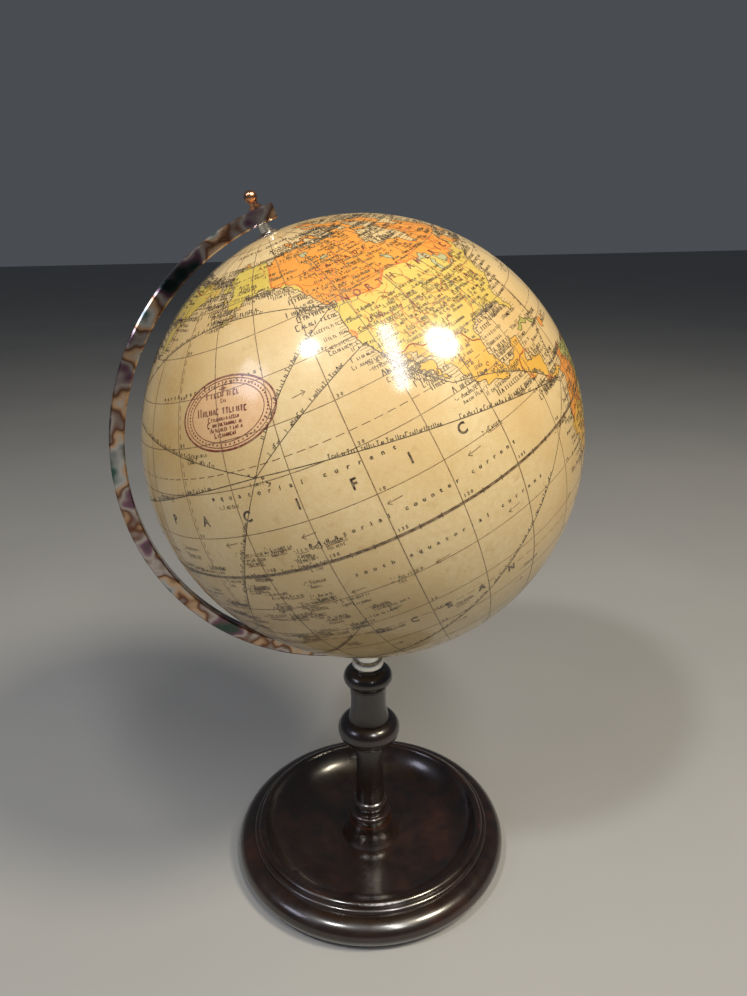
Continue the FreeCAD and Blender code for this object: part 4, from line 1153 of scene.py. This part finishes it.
def print_town_names(rng):
    """Dots and names of the towns inland, in rows along the parallels, clear of the great name."""
    towns = Print("print_town_names", land_ink, lift=0.06)
    west, east, south, north = KEPT_CLEAR
    for row in np.arange(-54, 76, TOWN_ROWS):
        lon = -180 + rng.uniform(0, 4)
        squeeze = math.cos(math.radians(row))
        while lon < 178:
            count = rng.randint(3, 9)
            reach = count * 0.6 / squeeze
            lat = row + rng.uniform(-0.35, 0.35)
            america = -130 < lon < -66
            europe = -12 < lon < 50 and lat > 35
            crowded = america or europe
            clear = not (south < lat < north and west < lon + reach and lon < east)
            dry = on_land([(lon, lat), (lon + reach, lat)]).all()
            if clear and dry and rng.random() < (0.95 if crowded else 0.75):
                towns.stroke(lon, lat, -0.8, 0.3, [(0, 0), (0.3, 0)], width=0.32)
                tiny_word(towns, rng, lon, lat, count, height=1.2, width=0.30)
            lon += reach + rng.uniform(0.6, 2.0 if crowded else 4.0) / squeeze
    towns.done()


def print_provinces(rng):
    """Thin wandering lines between provinces, nearly half of them in North America."""
    lines = Print("print_provinces", border_ink, lift=0.05)
    for _ in range(PROVINCE_LINES):
        if rng.random() < 0.45:
            points = [(rng.uniform(-128, -62), rng.uniform(17, 60))]
        else:
            points = [(rng.uniform(-180, 180), rng.uniform(-50, 68))]
        heading = rng.uniform(0, 2 * math.pi)
        for _ in range(rng.randint(3, 8)):
            heading += rng.uniform(-0.7, 0.7)
            lon, lat = points[-1]
            points.append((lon + 1.6 * math.cos(heading), lat + 1.1 * math.sin(heading)))
        if on_land(points).all():
            lines.line(points, width=0.2)
    lines.done()


def print_route_names():
    """Names along the ship routes of the two great oceans."""
    small = Print("print_route_names", dark_ink, lift=0.068)
    rng = random.Random(41)
    for number in range(NAMED_ROUTES):
        route_words(small, rng, route_ways(number))
    small.done()


# ---- Sea marks and the label --------------------------------------------------------------------

# Each current's arrows: latitude, western and eastern ends, and which way they point.
CURRENTS = [
    (7.5, -172, -110, -1), (-9, -168, -106, -1), (33, -144, -124, 1), (-33, -150, -95, 1),
    (12, -48, -24, -1), (40, -62, -30, 1), (-6, 60, 92, -1), (-38, 30, 100, 1), (-44, -160, -90, 1),
]
ARROW_GAP = 19
ARROW_LENGTH = 3.4
DATE_LINE = -179.2                         # drawn just east of the cut at 180 degrees
SHADE_ROWS = 0.7                           # degrees between the shading lines

STAR_UP = 5.1                              # the label's star above its middle, in degrees
# Rows of strokes on the label: degrees above its middle, how many, their height and their weight.
LABEL_ROWS = [
    (3.6, 9, 2.2, 0.5), (2.3, 3, 1.1, 0.3), (0.3, 13, 2.4, 0.5), (-1.2, 15, 1.3, 0.36),
    (-2.3, 16, 1.3, 0.36), (-3.4, 14, 1.3, 0.36), (-4.6, 10, 1.4, 0.4),
]


def draw_current(marks, lat, west, east, way):
    """A row of arrows."""
    for lon in range(west, east, ARROW_GAP):
        height = lat + 0.8 * math.sin(lon * 0.21)
        ends = [(lon, height), (lon + ARROW_LENGTH, height + 0.25)]
        marks.line(ends, width=0.24)
        tip = ends[1] if way > 0 else ends[0]
        for side in (-0.55, 0.55):
            marks.line([tip, (tip[0] - way * 0.9, tip[1] + side)], width=0.24)


def shade_coast(marks, rng, outline):
    """Thin level lines from a coast out to sea."""
    starts = np.array(outline)
    ends = np.roll(starts, -1, axis=0)
    for lat in np.arange(math.ceil(starts[:, 1].min()), min(74, starts[:, 1].max()), SHADE_ROWS):
        crossing = (starts[:, 1] > lat) != (ends[:, 1] > lat)
        for (x0, y0), (x1, y1) in zip(starts[crossing], ends[crossing]):
            lon = x0 + (x1 - x0) * (lat - y0) / (y1 - y0)
            reach = rng.uniform(0.9, 2.2) / math.cos(math.radians(lat))
            dry = on_land([(lon - 0.4, lat), (lon + 0.4, lat)])
            for end, wet in zip((lon - reach, lon + reach), ~dry):
                if wet and abs(lon) < 178:
                    marks.line([(lon, lat), (end, lat)], width=0.17)


def print_sea_marks():
    """Arrows of the currents, the broken date line, and shading along the long coasts."""
    marks = Print("print_sea_marks", line_ink, lift=0.05)
    rng = random.Random(5)
    for current in CURRENTS:
        draw_current(marks, *current)
    for lat in range(-58, 62, 2):
        marks.line([(DATE_LINE, lat), (DATE_LINE, lat + 1.1)], width=0.3)
    for name, outline in LAND_OUTLINES:
        if len(outline) >= LONG_COAST and name != "antarctica":
            shade_coast(marks, rng, outline)
    marks.done()


def print_cartouche():
    """A plain oval label: rim, beading, star and rows of strokes, with no wording."""
    label = Print("print_cartouche", red_ink, lift=0.06)
    lon, lat, wide, high = CARTOUCHE
    for scale, width in ((1.0, 0.7), (0.92, 0.3), (0.78, 0.3)):
        label.line(oval(lon, lat, wide * scale, high * scale, 72), width, closed=True)
    for x, y in oval(lon, lat, wide * 0.85, high * 0.85, 60):
        label.stroke(x, y, -0.3, 0, [(0, 0), (0.6, 0)], width=0.6)
    rng = random.Random(3)
    for row, count, height, weight in LABEL_ROWS:
        shift = count * 0.42 * height / math.cos(math.radians(lat)) / MM_PER_DEGREE
        tiny_word(label, rng, lon - shift, lat + row, count, height, weight)
    for spoke in range(8):
        turn = math.pi * spoke / 4
        reach = 1.7 if spoke % 2 == 0 else 1.0
        ray = [(0, 0), (reach * math.cos(turn), reach * math.sin(turn))]
        label.stroke(lon, lat + STAR_UP, 0, 0, ray, width=0.35)
    label.done()


make_gores()
print_coasts()
print_borders()
print_rivers()
print_graticule()
print_equator()
print_routes()
print_words("print_ocean_names", dark_ink, OCEAN_NAMES, lift=0.07)
print_words("print_current_names", dark_ink, CURRENT_NAMES, lift=0.07)
print_words("print_land_names", red_ink, LAND_NAMES, lift=0.075)
print_degrees()
print_coast_names()
print_island_names()
inland = random.Random(31)
print_town_names(inland)
print_provinces(inland)
print_route_names()
print_sea_marks()
print_cartouche()

# ---- Floor, camera and lights -------------------------------------------------------------------

FLOOR_REACH = 12.0
SENSOR_HEIGHT = 36                         # of the camera, in millimetres
LENS = 26.65
CAMERA_PLACE = (-0.10084, -0.32601, 0.33131)
CAMERA_YAW = -17.90                        # degrees, as are the next two
CAMERA_DIP = 19.455
CAMERA_ROLL = -0.784
AIM = Vector((0, 0, 0.22))                 # every lamp points here
SURROUND = (0.42, 0.46, 0.52, 1)
SURROUND_STRENGTH = 0.16

# Name, azimuth clockwise from +Y, elevation, distance, width, power, colour, and height if oblong.
LAMPS = [
    ("lamp_left", -124, 54, 1.3, 0.12, 8, (0.97, 0.97, 0.95)),
    ("lamp_right", 139, 51, 1.3, 0.32, 16, (1.0, 0.89, 0.68)),
    ("strip", 175, 52, 1.3, 0.14, 9, (1.0, 0.97, 0.93), 0.7),
    ("window", -98, 33, 1.6, 0.4, 3, (0.80, 0.80, 1.0), 0.4),
]


def make_floor():
    """A wide pale floor."""
    mesh = bpy.data.meshes.new("floor")
    signs = ((-1, -1), (1, -1), (1, 1), (-1, 1))
    mesh.from_pydata([(x * FLOOR_REACH, y * FLOOR_REACH, 0) for x, y in signs], [], [(0, 1, 2, 3)])
    made = Material("pale_floor", Roughness=0.75)
    shades = made.ramp(made.noise(3, 3), (0.3, (0.27, 0.27, 0.27)), (0.7, (0.30, 0.298, 0.29)))
    made.link(shades, "Base Color")
    mesh.materials.append(made.material)
    floor = bpy.data.objects.new("floor", mesh)
    bpy.context.scene.collection.objects.link(floor)


def make_camera():
    """The camera stands above and to the left of the front, and looks down a little."""
    data = bpy.data.cameras.new("camera")
    data.sensor_fit = "VERTICAL"
    data.sensor_height = SENSOR_HEIGHT
    data.lens = LENS
    data.clip_start = 0.01
    camera = bpy.data.objects.new("camera", data)
    bpy.context.scene.collection.objects.link(camera)
    turn = Matrix.Rotation(math.radians(CAMERA_YAW), 4, "Z")
    turn = turn @ Matrix.Rotation(math.radians(90 - CAMERA_DIP), 4, "X")
    turn = turn @ Matrix.Rotation(math.radians(CAMERA_ROLL), 4, "Z")
    camera.matrix_world = Matrix.Translation(CAMERA_PLACE) @ turn
    bpy.context.scene.camera = camera


def make_lamp(name, azimuth, elevation, distance, width, power, colour, height=None):
    """A soft lamp, round or oblong, in a direction from the object."""
    data = bpy.data.lights.new(name, "AREA")
    data.shape = "RECTANGLE" if height else "DISK"
    data.size = width
    if height:
        data.size_y = height
    data.energy = power
    data.color = colour
    lamp = bpy.data.objects.new(name, data)
    turn = math.radians(azimuth)
    up = math.radians(elevation)
    way = Vector((math.sin(turn) * math.cos(up), math.cos(turn) * math.cos(up), math.sin(up)))
    lamp.location = AIM + way * distance
    lamp.rotation_euler = way.to_track_quat("Z", "Y").to_euler()
    bpy.context.scene.collection.objects.link(lamp)


def make_world():
    """A dim grey-blue surround."""
    world = bpy.data.worlds.new("world")
    world.use_nodes = True
    background = world.node_tree.nodes["Background"]
    background.inputs["Color"].default_value = SURROUND
    background.inputs["Strength"].default_value = SURROUND_STRENGTH
    bpy.context.scene.world = world


make_floor()
make_camera()
for lamp_values in LAMPS:
    make_lamp(*lamp_values)
make_world()
bpy.context.scene.view_settings.view_transform = "Standard"
